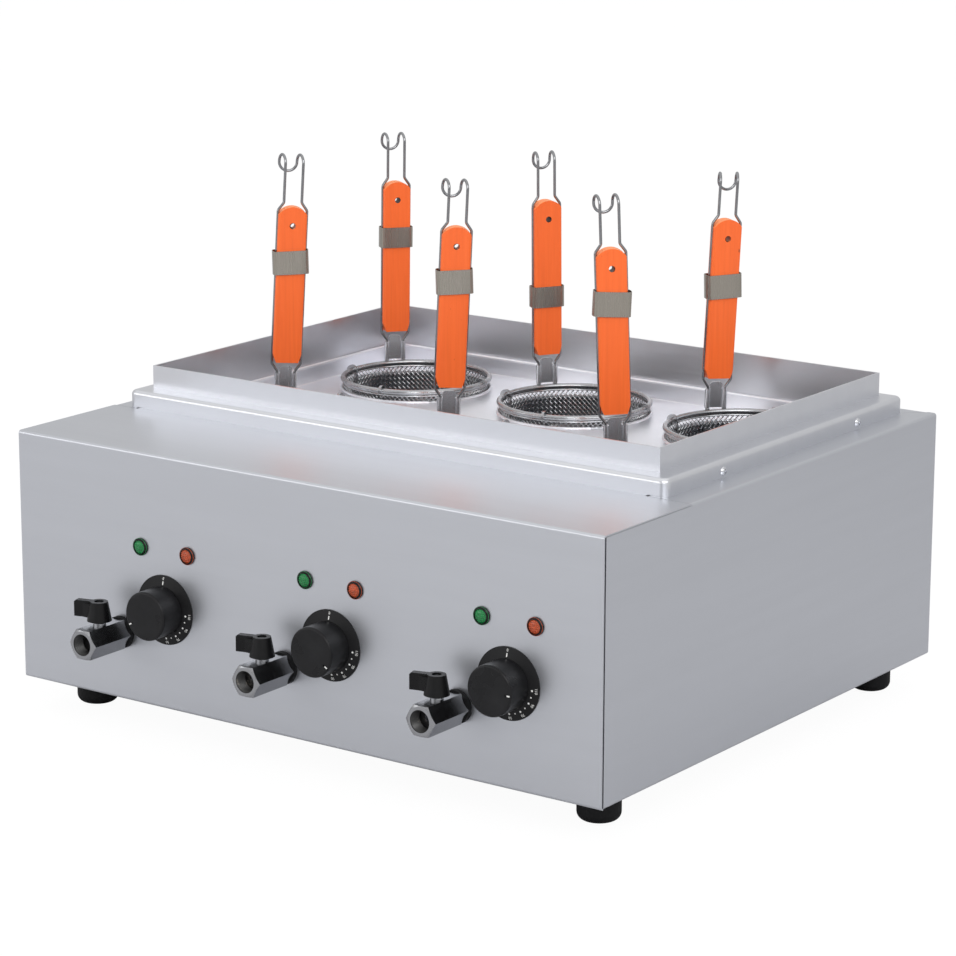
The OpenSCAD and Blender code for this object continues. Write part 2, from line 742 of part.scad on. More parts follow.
// Knob with a round front edge, a pointer notch and the shaft that it turns
module knob(i) color("#242426") placed()
  translate([knob_x(i), knob_y, foot_h + knob_z]) rotate([90, 0, 0]) {
    r = knob_d / 2;
    difference() {
      rotate_extrude() {
        square([r - knob_edge, knob_len]);
        square([r, knob_len - knob_edge]);
        translate([r - knob_edge, knob_len - knob_edge]) circle(knob_edge);
      }
      rotate(-knob_turn[i]) translate([-notch_w / 2, r - notch_len, knob_len - notch_t])
        cube([notch_w, notch_len + 1, 2 * notch_t]);
    }
    translate([0, 0, -shaft_len]) cylinder(d = shaft_d, h = shaft_len + eps);
  }

module knob_1() knob(0);
module knob_2() knob(1);
module knob_3() knob(2);

// Indicator lamp: collar, domed lens and the barrel behind the panel
module lamp() rotate([90, 0, 0]) rotate_extrude() {
  crown = (pow(lens_d / 2, 2) + pow(lens_rise, 2)) / (2 * lens_rise);
  square([lamp_d / 2, collar_t]);
  translate([0, collar_t - eps]) intersection() {
    translate([0, lens_rise - crown]) circle(crown);
    square([lens_d / 2, lens_rise]);
  }
  translate([0, -lamp_barrel]) square([lens_d / 2, lamp_barrel + eps]);
}

module green_lamps() color("limegreen") placed() for (i = [0:2])
  translate([knob_x(i) - lamp_span / 2, 0, foot_h + lamp_z]) lamp();

module amber_lamps() color("orange") placed() for (i = [0:2])
  translate([knob_x(i) + lamp_span / 2, 0, foot_h + lamp_z]) lamp();

// Drain valves, drawn round the valve axis with the front face at y = 0

module valve_place(i) placed() translate([valve_x(i), 0, valve_z]) children();

module valve_body(i) color("gainsboro") valve_place(i) difference() {
  union() {
    translate([0, -gasket_t, 0]) rotate([90, 0, 0]) intersection() {
      cylinder(d = hex_d, h = hex_len, $fn = 6);
      rotate_extrude() polygon([[0, 0], [hex_d, 0], [hex_d, hex_len - (hex_d - hex_front) * tan(30)],
        [hex_front, hex_len], [0, hex_len]]);
    }
    translate([0, -gasket_t - eps, 0]) rod_y(drain_d, gasket_t + drain_joint + eps);
    translate([0, stem_y, 0]) cylinder(d = stem_d + 2 * boss_wall, h = hex_af / 2 + lever_lift / 2);
  }
  translate([0, -valve_reach - 1, 0]) rod_y(outlet_d, outlet_depth + 1);
  translate([0, -valve_reach, 0]) rod_y(port_d, valve_reach + drain_joint + 1);
  translate([0, stem_y, 0]) sphere(d = ball_d + 2 * valve_gap);
  translate([0, stem_y, 0]) cylinder(d = stem_d + 2 * valve_gap, h = hex_af);
}

module valve_body_1() valve_body(0);
module valve_body_2() valve_body(1);
module valve_body_3() valve_body(2);

module valve_gaskets() color("#18181a") for (i = [0:2]) valve_place(i) difference() {
  translate([0, -gasket_t, 0]) rod_y(gasket_d, gasket_t);
  translate([0, -gasket_t - 1, 0]) rod_y(drain_d + 2 * wire_gap, gasket_t + 2);
}

// Ball and stem turn together with the lever
module valve_ball(i) color("whitesmoke") valve_place(i) translate([0, stem_y, 0]) rotate(lever_turn) {
  difference() {
    sphere(d = ball_d);
    rotate([0, 90, 0]) cylinder(d = port_d, h = 2 * ball_d, center = true);
  }
  translate([0, 0, port_d / 2 + sheet]) cylinder(d = stem_d, h = lever_z + stem_grip - port_d / 2 - sheet);
}

module valve_ball_1() valve_ball(0);
module valve_ball_2() valve_ball(1);
module valve_ball_3() valve_ball(2);

module valve_lever(i) color("#1c1c1e") valve_place(i) translate([0, stem_y, lever_z])
  rotate(180 + lever_turn) difference() {
    flare_w = hub_top_d / 2 - flare_gap;
    union() {
      cylinder(d1 = hub_d, d2 = hub_top_d, h = lever_h);
      rotate([90, 0, 0]) linear_extrude(blade_t, center = true)
        polygon([[0, blade_lift], [lever_len, blade_lift], [lever_len, lever_h - blade_corner],
          [lever_len - blade_corner, lever_h], [0, lever_h]]);
      translate([0, 0, blade_lift]) linear_extrude(lever_h - lever_screw_t - blade_lift)
        polygon([[0, -flare_w], [flare_len, -blade_t / 2], [flare_len, blade_t / 2], [0, flare_w]]);
    }
    translate([0, 0, -1]) cylinder(d = stem_d + 2 * wire_gap, h = 1 + stem_grip + wire_gap);
    translate([0, 0, lever_h - lever_screw_t]) cylinder(d = lever_screw_d, h = lever_screw_t + 1);
  }

module valve_lever_1() valve_lever(0);
module valve_lever_2() valve_lever(1);
module valve_lever_3() valve_lever(2);

module cable_gland() color("#222224") placed() translate([gland_x, body_d, foot_h + gland_z]) difference() {
  cap_len = gland_len - gland_hex;
  union() {
    rotate([-90, 0, 0]) cylinder(d = gland_d / cos(30), h = gland_hex, $fn = 6);
    translate([0, gland_hex - eps, 0]) rotate([-90, 0, 0]) rotate_extrude() polygon([[0, 0], [gland_d / 2, 0],
      [gland_d / 2, gland_cap], [gland_d / 2 - gland_chamfer, cap_len], [0, cap_len]]);
    translate([0, -gland_neck, 0]) rod_y(gland_neck_d, gland_neck + eps);
  }
  translate([0, -gland_neck - 1, 0]) rod_y(gland_bore, gland_len + gland_neck + 2);
}

// Baskets, drawn round the middle of the ring with the handle towards +X

module basket_place(b) placed() translate([basket_x(b), basket_y(b), ring_z])
  rotate(basket_turn[b]) children();

// Middle line of half a cross wire, each point with its side normal: bowl, taper, then the hook over the ring
function cross_path(low) =
  let (c = [bowl_c[0] + low * tan(taper_a), bowl_c[1] + low])
  let (wall_r = ring_r - strap_hook)
  let (climb = (wall_r - c[0] - strap_inner * cos(taper_a)) / sin(taper_a))
  let (head = c + strap_inner * [cos(taper_a), -sin(taper_a)] + climb * [sin(taper_a), cos(taper_a)])
  concat(
    [for (k = [0:bend_steps]) let (u = (90 - taper_a) * k / bend_steps)
      [c + strap_inner * [sin(u), -cos(u)], [sin(u), -cos(u)]]],
    [[head, [1, -tan(taper_a / 2)]]],
    [for (k = [0:bend_steps]) let (u = 180 * (1 - k / bend_steps))
      [[ring_r, 0] + strap_hook * [cos(u), sin(u)], -[cos(u), sin(u)]]],
    [[[ring_r + strap_hook, -cross_wire / 2], [-1, 0]]]
  );

// Outline of a whole cross wire in its own plane
module cross_outline(low) {
  path = cross_path(low);
  last = len(path) - 1;
  outer = [for (q = path) q[0] + cross_wire / 2 * q[1]];
  inner = [for (q = path) q[0] - cross_wire / 2 * q[1]];
  polygon(concat([for (k = [last:-1:0]) [-outer[k][0], outer[k][1]]], outer,
    [for (k = [last:-1:0]) inner[k]], [for (q = inner) [-q[0], q[1]]]));
}

module basket_ring(b) color("silver") basket_place(b) {
  rotate_extrude() translate([ring_r, 0]) circle(d = ring_wire);
  for (k = [0:1]) rotate([90, 0, 45 + 90 * k]) linear_extrude(cross_wire, center = true)
    cross_outline(k * (cross_wire + wire_gap));
}

module basket_ring_1() basket_ring(0);
module basket_ring_2() basket_ring(1);
module basket_ring_3() basket_ring(2);
module basket_ring_4() basket_ring(3);
module basket_ring_5() basket_ring(4);
module basket_ring_6() basket_ring(5);

// Half section of the formed strainer: taper, round bottom and the flat in its middle
module strainer_section() {
  inward = [-cos(taper_a), sin(taper_a)];
  top = [mesh_r, mesh_top];
  low = taper_end - taper_lap * [sin(taper_a), cos(taper_a)];
  polygon([top, top + mesh_t * inward, low + mesh_t * inward, low]);
  translate(bowl_c) intersection() {
    difference() {
      circle(bowl_r);
      circle(bowl_r - mesh_t);
    }
    polygon([[0, 0], [0, -2 * bowl_r], [2 * bowl_r, -2 * bowl_r],
      2 * bowl_r * [cos(taper_a), -sin(taper_a)]]);
  }
  translate([0, bowl_low]) square([bowl_c[0], mesh_t]);
}

module strainer(b) color("lightgray") basket_place(b) rotate_extrude() strainer_section();

module strainer_1() strainer(0);
module strainer_2() strainer(1);
module strainer_3() strainer(2);
module strainer_4() strainer(3);
module strainer_5() strainer(4);
module strainer_6() strainer(5);

// Handles stand on the ring; x = 0 is the plane of the wire

module handle_place(b) basket_place(b) translate([handle_r, 0, handle_foot])
  rotate([handle_lean[b], 0, 0]) translate([0, 0, -handle_foot]) children();

lower_steps = [
  [spread_start - handle_foot, frame_bend, spread_angle, 90],
  [spread_run, frame_bend, spread_angle, 180],
  [straight_end - spread_start - spread_rise, frame_bend, spread_angle, 0],
  [spread_run, frame_bend, spread_angle, 180]
];

// Hook of one side: over the top, then half of the loop that joins the two wires
function hook_steps(b, turn) = [
  [hook_start + hook_rise[b] - straight_end - spread_rise, hook_r, 180, turn - 90],
  [0, frame_span / 2, 90, turn - 90]
];

// Sheet bracket with a sleeve rolled round each wire and a web that stands higher between them
module bracket() translate([0, 0, handle_foot + bracket_gap]) difference() {
  union() {
    for (s = [-1, 1]) translate([0, s * frame_span / 2, 0])
      cylinder(d = frame_wire + 2 * bracket_wall, h = sleeve_h);
    translate([bracket_web, -frame_span / 2, 0]) cube([bracket_wall, frame_span, sleeve_h]);
    translate([bracket_web, 0, sleeve_h - eps]) rotate([90, 0, 90]) linear_extrude(bracket_wall)
      polygon([[-web_w / 2, 0], [web_w / 2, 0], [web_w / 2, bracket_h - sleeve_h - web_corner],
        [web_w / 2 - web_corner, bracket_h - sleeve_h], [web_corner - web_w / 2, bracket_h - sleeve_h],
        [-web_w / 2, bracket_h - sleeve_h - web_corner]]);
  }
  for (s = [-1, 1]) translate([0, s * frame_span / 2, -1])
    cylinder(d = frame_wire + 2 * wire_gap, h = bracket_h + 2);
}

module band(b) {
  inner_w = 2 * (wire_side + frame_wire / 2 + wire_gap);
  inner_t = grip_t + 2 * wire_gap;
  translate([0, 0, grip_top - band_drop[b] - band_h / 2]) linear_extrude(band_h) difference() {
    round_rect(inner_t + 2 * band_t, inner_w + 2 * band_t, band_r);
    round_rect(inner_t, inner_w, band_r - band_t);
  }
}

module handle_frame(b) color("silver") handle_place(b) {
  for (s = [0, 1]) mirror([0, s, 0]) translate([0, frame_span / 2, handle_foot])
    bent_wire(frame_wire, concat(lower_steps, hook_steps(b, (1 - 2 * s) * hook_turn[b])));
  bracket();
  band(b);
}

module handle_frame_1() handle_frame(0);
module handle_frame_2() handle_frame(1);
module handle_frame_3() handle_frame(2);
module handle_frame_4() handle_frame(3);
module handle_frame_5() handle_frame(4);
module handle_frame_6() handle_frame(5);

// Outline of the grip seen from the basket, foot at z = 0
module grip_outline() {
  shoulder = grip_len - grip_top_r + sqrt(pow(grip_top_r, 2) - pow(grip_w / 2, 2));
  polygon([[-grip_foot / 2, 0], [grip_foot / 2, 0], [grip_w / 2, grip_taper], [grip_w / 2, shoulder],
    [-grip_w / 2, shoulder], [-grip_w / 2, grip_taper]]);
  intersection() {
    translate([0, grip_len - grip_top_r]) circle(grip_top_r);
    translate([-grip_w / 2, shoulder - eps]) square([grip_w, grip_len]);
  }
}

module wooden_grip(b) color("#e8703a") handle_place(b) difference() {
  intersection() {
    translate([-grip_t / 2, 0, grip_lift]) rotate([90, 0, 90]) linear_extrude(grip_t) grip_outline();
    translate([0, 0, grip_lift - 1]) linear_extrude(grip_len + 2) round_rect(grip_t, grip_w, grip_edge);
  }
  for (s = [-1, 1]) translate([0, s * wire_side, grip_lift - 1])
    cylinder(d = frame_wire + 2 * wire_gap, h = grip_len + 2);
  translate([-grip_t, 0, grip_top - grip_hole_drop]) rotate([0, 90, 0])
    cylinder(d = grip_hole, h = 2 * grip_t);
}

module wooden_grip_1() wooden_grip(0);
module wooden_grip_2() wooden_grip(1);
module wooden_grip_3() wooden_grip(2);
module wooden_grip_4() wooden_grip(3);
module wooden_grip_5() wooden_grip(4);
module wooden_grip_6() wooden_grip(5);

front_panel();
left_side_panel();
right_side_panel();
rear_panel();
base_plate();
rubber_feet();
plinth_frame();
splash_guard();
plinth_screws();
well_1();
well_2();
well_3();
heating_element_1();
heating_element_2();
heating_element_3();
thermostat_1();
thermostat_2();
thermostat_3();
dial_rings();
green_lamps();
amber_lamps();
valve_body_1();
valve_body_2();
valve_body_3();
valve_gaskets();
valve_ball_1();
valve_ball_2();
valve_ball_3();
valve_lever_1();
valve_lever_2();
valve_lever_3();
knob_1();
knob_2();
knob_3();
basket_tray();
cable_gland();
basket_ring_1();
basket_ring_2();
basket_ring_3();
basket_ring_4();
basket_ring_5();
basket_ring_6();
strainer_1();
strainer_2();
strainer_3();
strainer_4();
strainer_5();
strainer_6();
handle_frame_1();
handle_frame_2();
handle_frame_3();
handle_frame_4();
handle_frame_5();
handle_frame_6();
wooden_grip_1();
wooden_grip_2();
wooden_grip_3();
wooden_grip_4();
wooden_grip_5();
wooden_grip_6();
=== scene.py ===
import functools
import json
import math

import bpy
from bpy.props import FloatProperty, FloatVectorProperty, IntProperty, PointerProperty
from mathutils import Matrix, Vector


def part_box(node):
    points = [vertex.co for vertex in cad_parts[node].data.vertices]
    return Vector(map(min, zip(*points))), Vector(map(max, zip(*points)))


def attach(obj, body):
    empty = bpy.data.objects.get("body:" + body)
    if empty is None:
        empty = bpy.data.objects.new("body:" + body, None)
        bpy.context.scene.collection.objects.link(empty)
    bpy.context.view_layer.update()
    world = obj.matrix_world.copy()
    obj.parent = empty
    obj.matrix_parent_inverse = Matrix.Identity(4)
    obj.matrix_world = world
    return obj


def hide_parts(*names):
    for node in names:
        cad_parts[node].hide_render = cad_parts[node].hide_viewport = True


bl_info = {
    "name": "Pasta cooker dresser",
    "version": (1, 0, 0),
    "blender": (4, 5, 0),
    "location": "3D View > Sidebar > Cooker",
    "description": "Finishes, woven strainers, dial prints and studio for a countertop pasta cooker",
    "category": "Object",
}

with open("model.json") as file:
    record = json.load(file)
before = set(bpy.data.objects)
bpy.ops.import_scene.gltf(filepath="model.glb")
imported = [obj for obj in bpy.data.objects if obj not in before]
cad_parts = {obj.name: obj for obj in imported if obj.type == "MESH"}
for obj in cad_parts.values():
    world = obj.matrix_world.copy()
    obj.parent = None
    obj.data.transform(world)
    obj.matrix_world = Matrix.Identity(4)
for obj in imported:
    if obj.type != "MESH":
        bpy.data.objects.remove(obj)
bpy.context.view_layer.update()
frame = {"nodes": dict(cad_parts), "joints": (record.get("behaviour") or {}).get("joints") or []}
NODES = frame["nodes"]
JOINTS = {j["name"]: j for j in frame["joints"]}
MM = 0.001
BASKETS = range(1, 7)
WELLS = range(1, 4)
# Turns a lathe's axis from +Z to -Y, out of the front panel
FACE_OUT = Matrix.Rotation(math.radians(90), 4, "X")


# Sizes and colours that a user may change

class CookerSizes(bpy.types.PropertyGroup):
    ring_wire: FloatProperty(
        name="Ring wire", description="Diameter of the wire of a basket's ring",
        default=5.3 * MM, unit="LENGTH", precision=5)
    weave_wire: FloatProperty(
        name="Weave wire", description="Diameter of a strainer's woven wire",
        default=0.8 * MM, unit="LENGTH", precision=5)
    weave_count: IntProperty(
        name="Weave wires", description="Wires of each of the two directions of a strainer's weave",
        default=96, min=24, max=160)
    weave_top: FloatProperty(
        name="Weave top radius", description="Radius of the weave's middle at the ring",
        default=67.1 * MM, unit="LENGTH", precision=5)
    weave_slope: FloatProperty(
        name="Weave slope", description="Slope of the strainer's taper from the upright",
        default=math.radians(6.3), subtype="ANGLE")
    weave_taper: FloatProperty(
        name="Weave taper", description="Height of the tapered part of the weave",
        default=72 * MM, unit="LENGTH", precision=5)
    weave_bowl: FloatProperty(
        name="Weave bowl radius", description="Radius of the weave's round bottom",
        default=44.1 * MM, unit="LENGTH", precision=5)
    eye_radius: FloatProperty(
        name="Eye radius", description="Radius of the hanging eye in a grip",
        default=2.74 * MM, unit="LENGTH", precision=5)
    eye_drop: FloatProperty(
        name="Eye drop", description="Distance of the hanging eye from the top of the grip",
        default=17 * MM, unit="LENGTH", precision=5)
    band_crown: FloatProperty(
        name="Band crown", description="Bulge of a band's faces",
        default=0.35 * MM, unit="LENGTH", precision=5)
    grip_thickness: FloatProperty(
        name="Grip thickness", description="Thickness of a grip",
        default=12 * MM, unit="LENGTH", precision=5)
    dial_radius: FloatProperty(
        name="Dial radius", description="Radius of the printed dial",
        default=30 * MM, unit="LENGTH", precision=5)
    knob_radius: FloatProperty(
        name="Knob radius", description="Radius of a knob",
        default=21 * MM, unit="LENGTH", precision=5)
    knob_edge: FloatProperty(
        name="Knob edge", description="Radius of the rounded front edge of a knob",
        default=2 * MM, unit="LENGTH", precision=5)
    lens_radius: FloatProperty(
        name="Lens radius", description="Radius of a lamp's lens",
        default=5.75 * MM, unit="LENGTH", precision=5)
    outlet_radius: FloatProperty(
        name="Outlet radius", description="Radius of the drain outlet's thread core",
        default=9.3 * MM, unit="LENGTH", precision=5)
    outlet_depth: FloatProperty(
        name="Outlet depth", description="Depth of the drain outlet's thread",
        default=14 * MM, unit="LENGTH", precision=5)
    port_radius: FloatProperty(
        name="Port radius", description="Radius of the port through a valve",
        default=5.1 * MM, unit="LENGTH", precision=5)


class CookerColours(bpy.types.PropertyGroup):
    panel: FloatVectorProperty(
        name="Panel steel", description="Colour of the body's steel", subtype="COLOR",
        size=3, default=(0.60, 0.615, 0.655), min=0, max=1)
    bright: FloatVectorProperty(
        name="Bright steel", description="Colour of the plinth, guard and tray", subtype="COLOR",
        size=3, default=(0.72, 0.73, 0.765), min=0, max=1)
    wire: FloatVectorProperty(
        name="Wire steel", description="Colour of the drawn wire", subtype="COLOR",
        size=3, default=(0.44, 0.445, 0.46), min=0, max=1)
    # The band's colour is steel grey with an olive tint that is a painted reflection.
    band: FloatVectorProperty(
        name="Band steel", description="Colour of the bands round the grips", subtype="COLOR",
        size=3, default=(0.37, 0.34, 0.295), min=0, max=1)
    chrome: FloatVectorProperty(
        name="Chrome", description="Colour of the plated valves", subtype="COLOR",
        size=3, default=(0.36, 0.365, 0.38), min=0, max=1)
    stain: FloatVectorProperty(
        name="Orange stain", description="Colour of the stained grips", subtype="COLOR",
        size=3, default=(0.96, 0.150, 0.020), min=0, max=1)
    black: FloatVectorProperty(
        name="Black plastic", description="Colour of knobs, dials and levers", subtype="COLOR",
        size=3, default=(0.010, 0.010, 0.011), min=0, max=1)
    green: FloatVectorProperty(
        name="Green lens", description="Colour of the green lamps", subtype="COLOR",
        size=3, default=(0.006, 0.19, 0.048), min=0, max=1)
    amber: FloatVectorProperty(
        name="Amber lens", description="Colour of the amber lamps", subtype="COLOR",
        size=3, default=(0.42, 0.065, 0.018), min=0, max=1)
    floor: FloatVectorProperty(
        name="Floor", description="Colour of the studio floor", subtype="COLOR",
        size=3, default=(0.54, 0.54, 0.55), min=0, max=1)


# Material building

class Finish:
    """A new material with short ways to add its nodes."""

    def __init__(self, name, colour, metallic, roughness):
        self.material = bpy.data.materials.new(name)
        self.material.use_nodes = True
        self.material.diffuse_color = (*colour, 1)
        self.tree = self.material.node_tree
        self.shader = self.tree.nodes["Principled BSDF"]
        self.set("Base Color", (*colour, 1))
        self.set("Metallic", metallic)
        self.set("Roughness", roughness)

    def set(self, socket, value):
        self.shader.inputs[socket].default_value = value

    def node(self, kind, **inputs):
        """Adds a node; the name of an input has _ in place of a space."""
        made = self.tree.nodes.new(kind)
        for name, value in inputs.items():
            made.inputs[name.replace("_", " ")].default_value = value
        return made

    def link(self, source, target):
        self.tree.links.new(source, target)

    def noise(self, scale, detail=4, roughness=0.55):
        """Noise in the object's own coordinates."""
        place = self.node("ShaderNodeTexCoord")
        mapping = self.node("ShaderNodeMapping", Scale=scale)
        made = self.node("ShaderNodeTexNoise", Scale=1.0, Detail=detail, Roughness=roughness)
        self.link(place.outputs["Object"], mapping.inputs["Vector"])
        self.link(mapping.outputs["Vector"], made.inputs["Vector"])
        return made.outputs["Fac"]

    def ranged(self, value, low, high, start=0.3, end=0.7):
        """Spreads what lies between start and end over low to high."""
        made = self.node("ShaderNodeMapRange", From_Min=start, From_Max=end, To_Min=low, To_Max=high)
        self.link(value, made.inputs["Value"])
        return made.outputs["Result"]

    def ramp(self, value, stops):
        """Colours by a list of (place, colour)."""
        made = self.node("ShaderNodeValToRGB")
        parts = made.color_ramp.elements
        while len(parts) < len(stops):
            parts.new(0.5)
        for part, (place, colour) in zip(parts, stops):
            part.position = place
            part.color = (*colour, 1)
        self.link(value, made.inputs["Fac"])
        return made.outputs["Color"]

    def mixed(self, share, first, second):
        """Mix of two colours, each of them a socket or plain numbers."""
        made = self.node("ShaderNodeMix")
        made.data_type = "RGBA"
        share_in, first_in, second_in = (made.inputs[k] for k in (0, 6, 7))
        self.link(share, share_in)
        for socket, source in ((first_in, first), (second_in, second)):
            if isinstance(source, bpy.types.NodeSocket):
                self.link(source, socket)
            else:
                socket.default_value = (*source, 1)
        return made.outputs[2]

    def bump(self, height, strength, distance):
        """Adds a bump on top of those already there."""
        made = self.node("ShaderNodeBump", Strength=strength, Distance=distance)
        self.link(height, made.inputs["Height"])
        last = self.shader.inputs["Normal"].links
        if last:
            self.link(last[0].from_socket, made.inputs["Normal"])
        self.link(made.outputs["Normal"], self.shader.inputs["Normal"])

    def colour(self, source):
        self.link(source, self.shader.inputs["Base Color"])

    def rough(self, source):
        self.link(source, self.shader.inputs["Roughness"])


def shade(colour, factor):
    return tuple(min(1.0, c * factor) for c in colour)


def stretched(scale, axis, along):
    """Scale of a noise that is drawn out along one axis."""
    scales = [scale] * 3
    scales["XYZ".index(axis)] = along
    return scales


def brushed_steel(name, colour, axis, rough, spread, tone=0.02):
    """Rolled sheet with fine grain along one axis, faint streaks and smears."""
    steel = Finish(name, colour, 1.0, rough)
    grain = steel.noise(stretched(900.0, axis, 6.0), 3)
    streak = steel.noise(stretched(60.0, axis, 3.0))
    smear = steel.noise((5.0, 5.0, 7.0), 5, 0.6)
    tint = steel.mixed(steel.ranged(streak, 0, 1), shade(colour, 1 - tone), shade(colour, 1 + tone))
    cloud = steel.ranged(smear, 0, 0.5, 0.35, 0.75)
    steel.colour(steel.mixed(cloud, tint, shade(colour, 1 - 2 * tone)))
    both = steel.node("ShaderNodeMath")
    steel.link(steel.ranged(grain, rough - spread / 2, rough + spread / 2), both.inputs[0])
    steel.link(steel.ranged(smear, -spread / 3, spread / 3), both.inputs[1])
    steel.rough(both.outputs[0])
    steel.bump(grain, 0.006, 0.0002)
    return steel.material


def drawn_wire(name, colour, rough=0.24):
    """Round bright wire with die lines and slight heat stain."""
    wire = Finish(name, colour, 1.0, rough)
    stain = wire.noise((90.0, 90.0, 90.0))
    lines = wire.noise((1400.0, 1400.0, 200.0), 2)
    wire.colour(wire.ramp(stain, [(0.30, shade(colour, 0.9)), (0.55, colour), (0.8, shade(colour, 1.06))]))
    wire.rough(wire.ranged(stain, rough - 0.03, rough + 0.05))
    wire.bump(lines, 0.02, 0.0002)
    return wire.material


def plated_chrome(name, colour):
    """Polished plating over turned brass, with faint ripples and water spots."""
    plate = Finish(name, colour, 1.0, 0.22)
    spots = plate.noise((260.0, 260.0, 260.0), 3)
    ripple = plate.noise((70.0, 40.0, 70.0), 2)
    plate.colour(plate.ramp(spots, [(0.3, shade(colour, 0.95)), (0.6, colour)]))
    plate.rough(plate.ranged(spots, 0.20, 0.23))
    plate.bump(ripple, 0.015, 0.0006)
    return plate.material


def moulded(name, colour, rough=0.42, grain=1500.0, height=0.12):
    """Moulded plastic or rubber with a fine spark-eroded grain and worn sheen."""
    plastic = Finish(name, colour, 0.0, rough)
    fine = plastic.noise((grain, grain, grain), 2)
    wear = plastic.noise((45.0, 45.0, 45.0))
    plastic.colour(plastic.ramp(wear, [(0.3, shade(colour, 0.8)), (0.7, shade(colour, 1.35))]))
    plastic.rough(plastic.ranged(wear, rough - 0.08, rough + 0.1))
    plastic.bump(fine, height, 0.0002)
    plastic.set("Specular IOR Level", 0.2)
    return plastic.material


def stained_wood(name, colour):
    """Stain over straight grain, paler on faces that look up as painted light from above, with a few dark
    specks.
    """
    red, green, blue = colour
    wood = Finish(name, colour, 0.0, 0.42)
    grain = wood.noise((420.0, 420.0, 14.0), 5, 0.6)
    figure = wood.noise((60.0, 60.0, 7.0))
    pores = wood.noise((900.0, 900.0, 60.0), 2)
    scuff = wood.noise((130.0, 130.0, 70.0), 4, 0.7)
    late_wood = (min(1, red * 1.04), green * 1.12, blue * 1.3)
    body = wood.ramp(grain, [(0.25, shade(colour, 0.92)), (0.5, colour), (0.78, late_wood)])
    toned = wood.mixed(wood.ranged(figure, 0, 0.3, 0.35, 0.7), body, (red * 0.9, green * 0.84, blue * 0.8))
    # Faces that look up are made paler: painted light from above.
    upward = wood.node("ShaderNodeSeparateXYZ")
    wood.link(wood.node("ShaderNodeNewGeometry").outputs["Normal"], upward.inputs[0])
    pale = wood.ranged(upward.outputs["Z"], 0, 0.55, 0.35, 0.9)
    painted_top_light = wood.mixed(pale, toned, (min(1, red * 1.05), green * 2.6, blue * 6))
    wood.colour(wood.mixed(wood.ranged(scuff, 0, 0.8, 0.69, 0.75), painted_top_light, shade(colour, 0.25)))
    wood.rough(wood.ranged(figure, 0.34, 0.52))
    wood.bump(grain, 0.10, 0.0004)
    wood.bump(pores, 0.12, 0.0002)
    return wood.material


def tinted_lens(name, colour):
    """Clear tinted plastic, with random darker and brighter spots in its tint as painted shade and painted
    glints.
    """
    lens = Finish(name, colour, 0.0, 0.12)
    glint_and_shade_mottle = lens.noise((700.0, 700.0, 700.0), 3)
    # Spots of the tint made darker and brighter are painted shade and painted glints.
    lens.colour(lens.ramp(glint_and_shade_mottle, [(0.3, shade(colour, 0.55)), (0.55, colour), (0.75, shade(colour, 1.5))]))
    lens.rough(lens.ranged(glint_and_shade_mottle, 0.08, 0.2))
    lens.set("Coat Weight", 0.12)
    lens.set("Coat Roughness", 0.08)
    return lens.material


def print_white(name):
    """Pad-printed ink, slightly uneven."""
    ink = Finish(name, (0.82, 0.82, 0.80), 0.0, 0.5)
    spread = ink.noise((1800.0, 1800.0, 1800.0), 3)
    ink.colour(ink.ramp(spread, [(0.3, (0.62, 0.62, 0.60)), (0.6, (0.86, 0.86, 0.84))]))
    ink.rough(ink.ranged(spread, 0.42, 0.6))
    return ink.material


def oxidised_metal(name, colour):
    """Dull metal with spots of pale oxide, for heaters and weld beads; a very dark one is painted shade in
    the valve outlets and also dresses the lever screws.
    """
    metal = Finish(name, colour, 1.0, 0.45)
    spots = metal.noise((150.0, 150.0, 150.0), 5, 0.65)
    metal.colour(metal.ramp(spots, [(0.3, shade(colour, 0.6)), (0.6, colour), (0.8, (0.55, 0.5, 0.44))]))
    metal.rough(metal.ranged(spots, 0.35, 0.65))
    metal.bump(spots, 0.2, 0.0003)
    return metal.material


def dress(material, *nodes):
    """Gives CAD nodes their finish."""
    for node in nodes:
        slots = NODES[node].data.materials
        slots.clear()
        slots.append(material)


def each(stem, numbers):
    return [f"{stem}_{number}" for number in numbers]


# Mesh building: a shape is a pair of lists, its points and its faces

def add_part(shape, more):
    """Adds the points and faces of one shape to another."""
    base = len(shape[0])
    shape[0].extend(more[0])
    shape[1].extend(tuple(base + i for i in face) for face in more[1])


def moved(shape, matrix):
    return [matrix @ v for v in shape[0]], shape[1]


def quads(rows, across, loop_rows=False, loop_across=True):
    """Faces of a grid of points, given row by row, that may close on itself either way."""
    faces = []
    for r in range(rows if loop_rows else rows - 1):
        here, beyond = r * across, (r + 1) % rows * across
        for k in range(across if loop_across else across - 1):
            n = (k + 1) % across
            faces.append((here + k, here + n, beyond + n, beyond + k))
    return faces


def circle(radius, steps, height=0.0):
    angles = [math.tau * k / steps for k in range(steps)]
    return [Vector((radius * math.cos(a), radius * math.sin(a), height)) for a in angles]


def tube(points, radius, sides, closed=False):
    """Skin of a round wire along a list of points."""
    count = len(points)
    verts = []
    side = None
    for k in range(count):
        ahead = points[(k + 1) % count] if closed or k < count - 1 else points[k]
        behind = points[k - 1] if closed or k > 0 else points[k]
        along = (ahead - behind).normalized()
        if side is None:
            side = along.orthogonal().normalized()
        side = (side - along * side.dot(along)).normalized()
        other = along.cross(side)
        for s in range(sides):
            a = math.tau * s / sides
            verts.append(points[k] + (side * math.cos(a) + other * math.sin(a)) * radius)
    faces = quads(count, sides, closed)
    if not closed:
        faces.append(tuple(reversed(range(sides))))
        faces.append(tuple((count - 1) * sides + s for s in range(sides)))
    return verts, faces


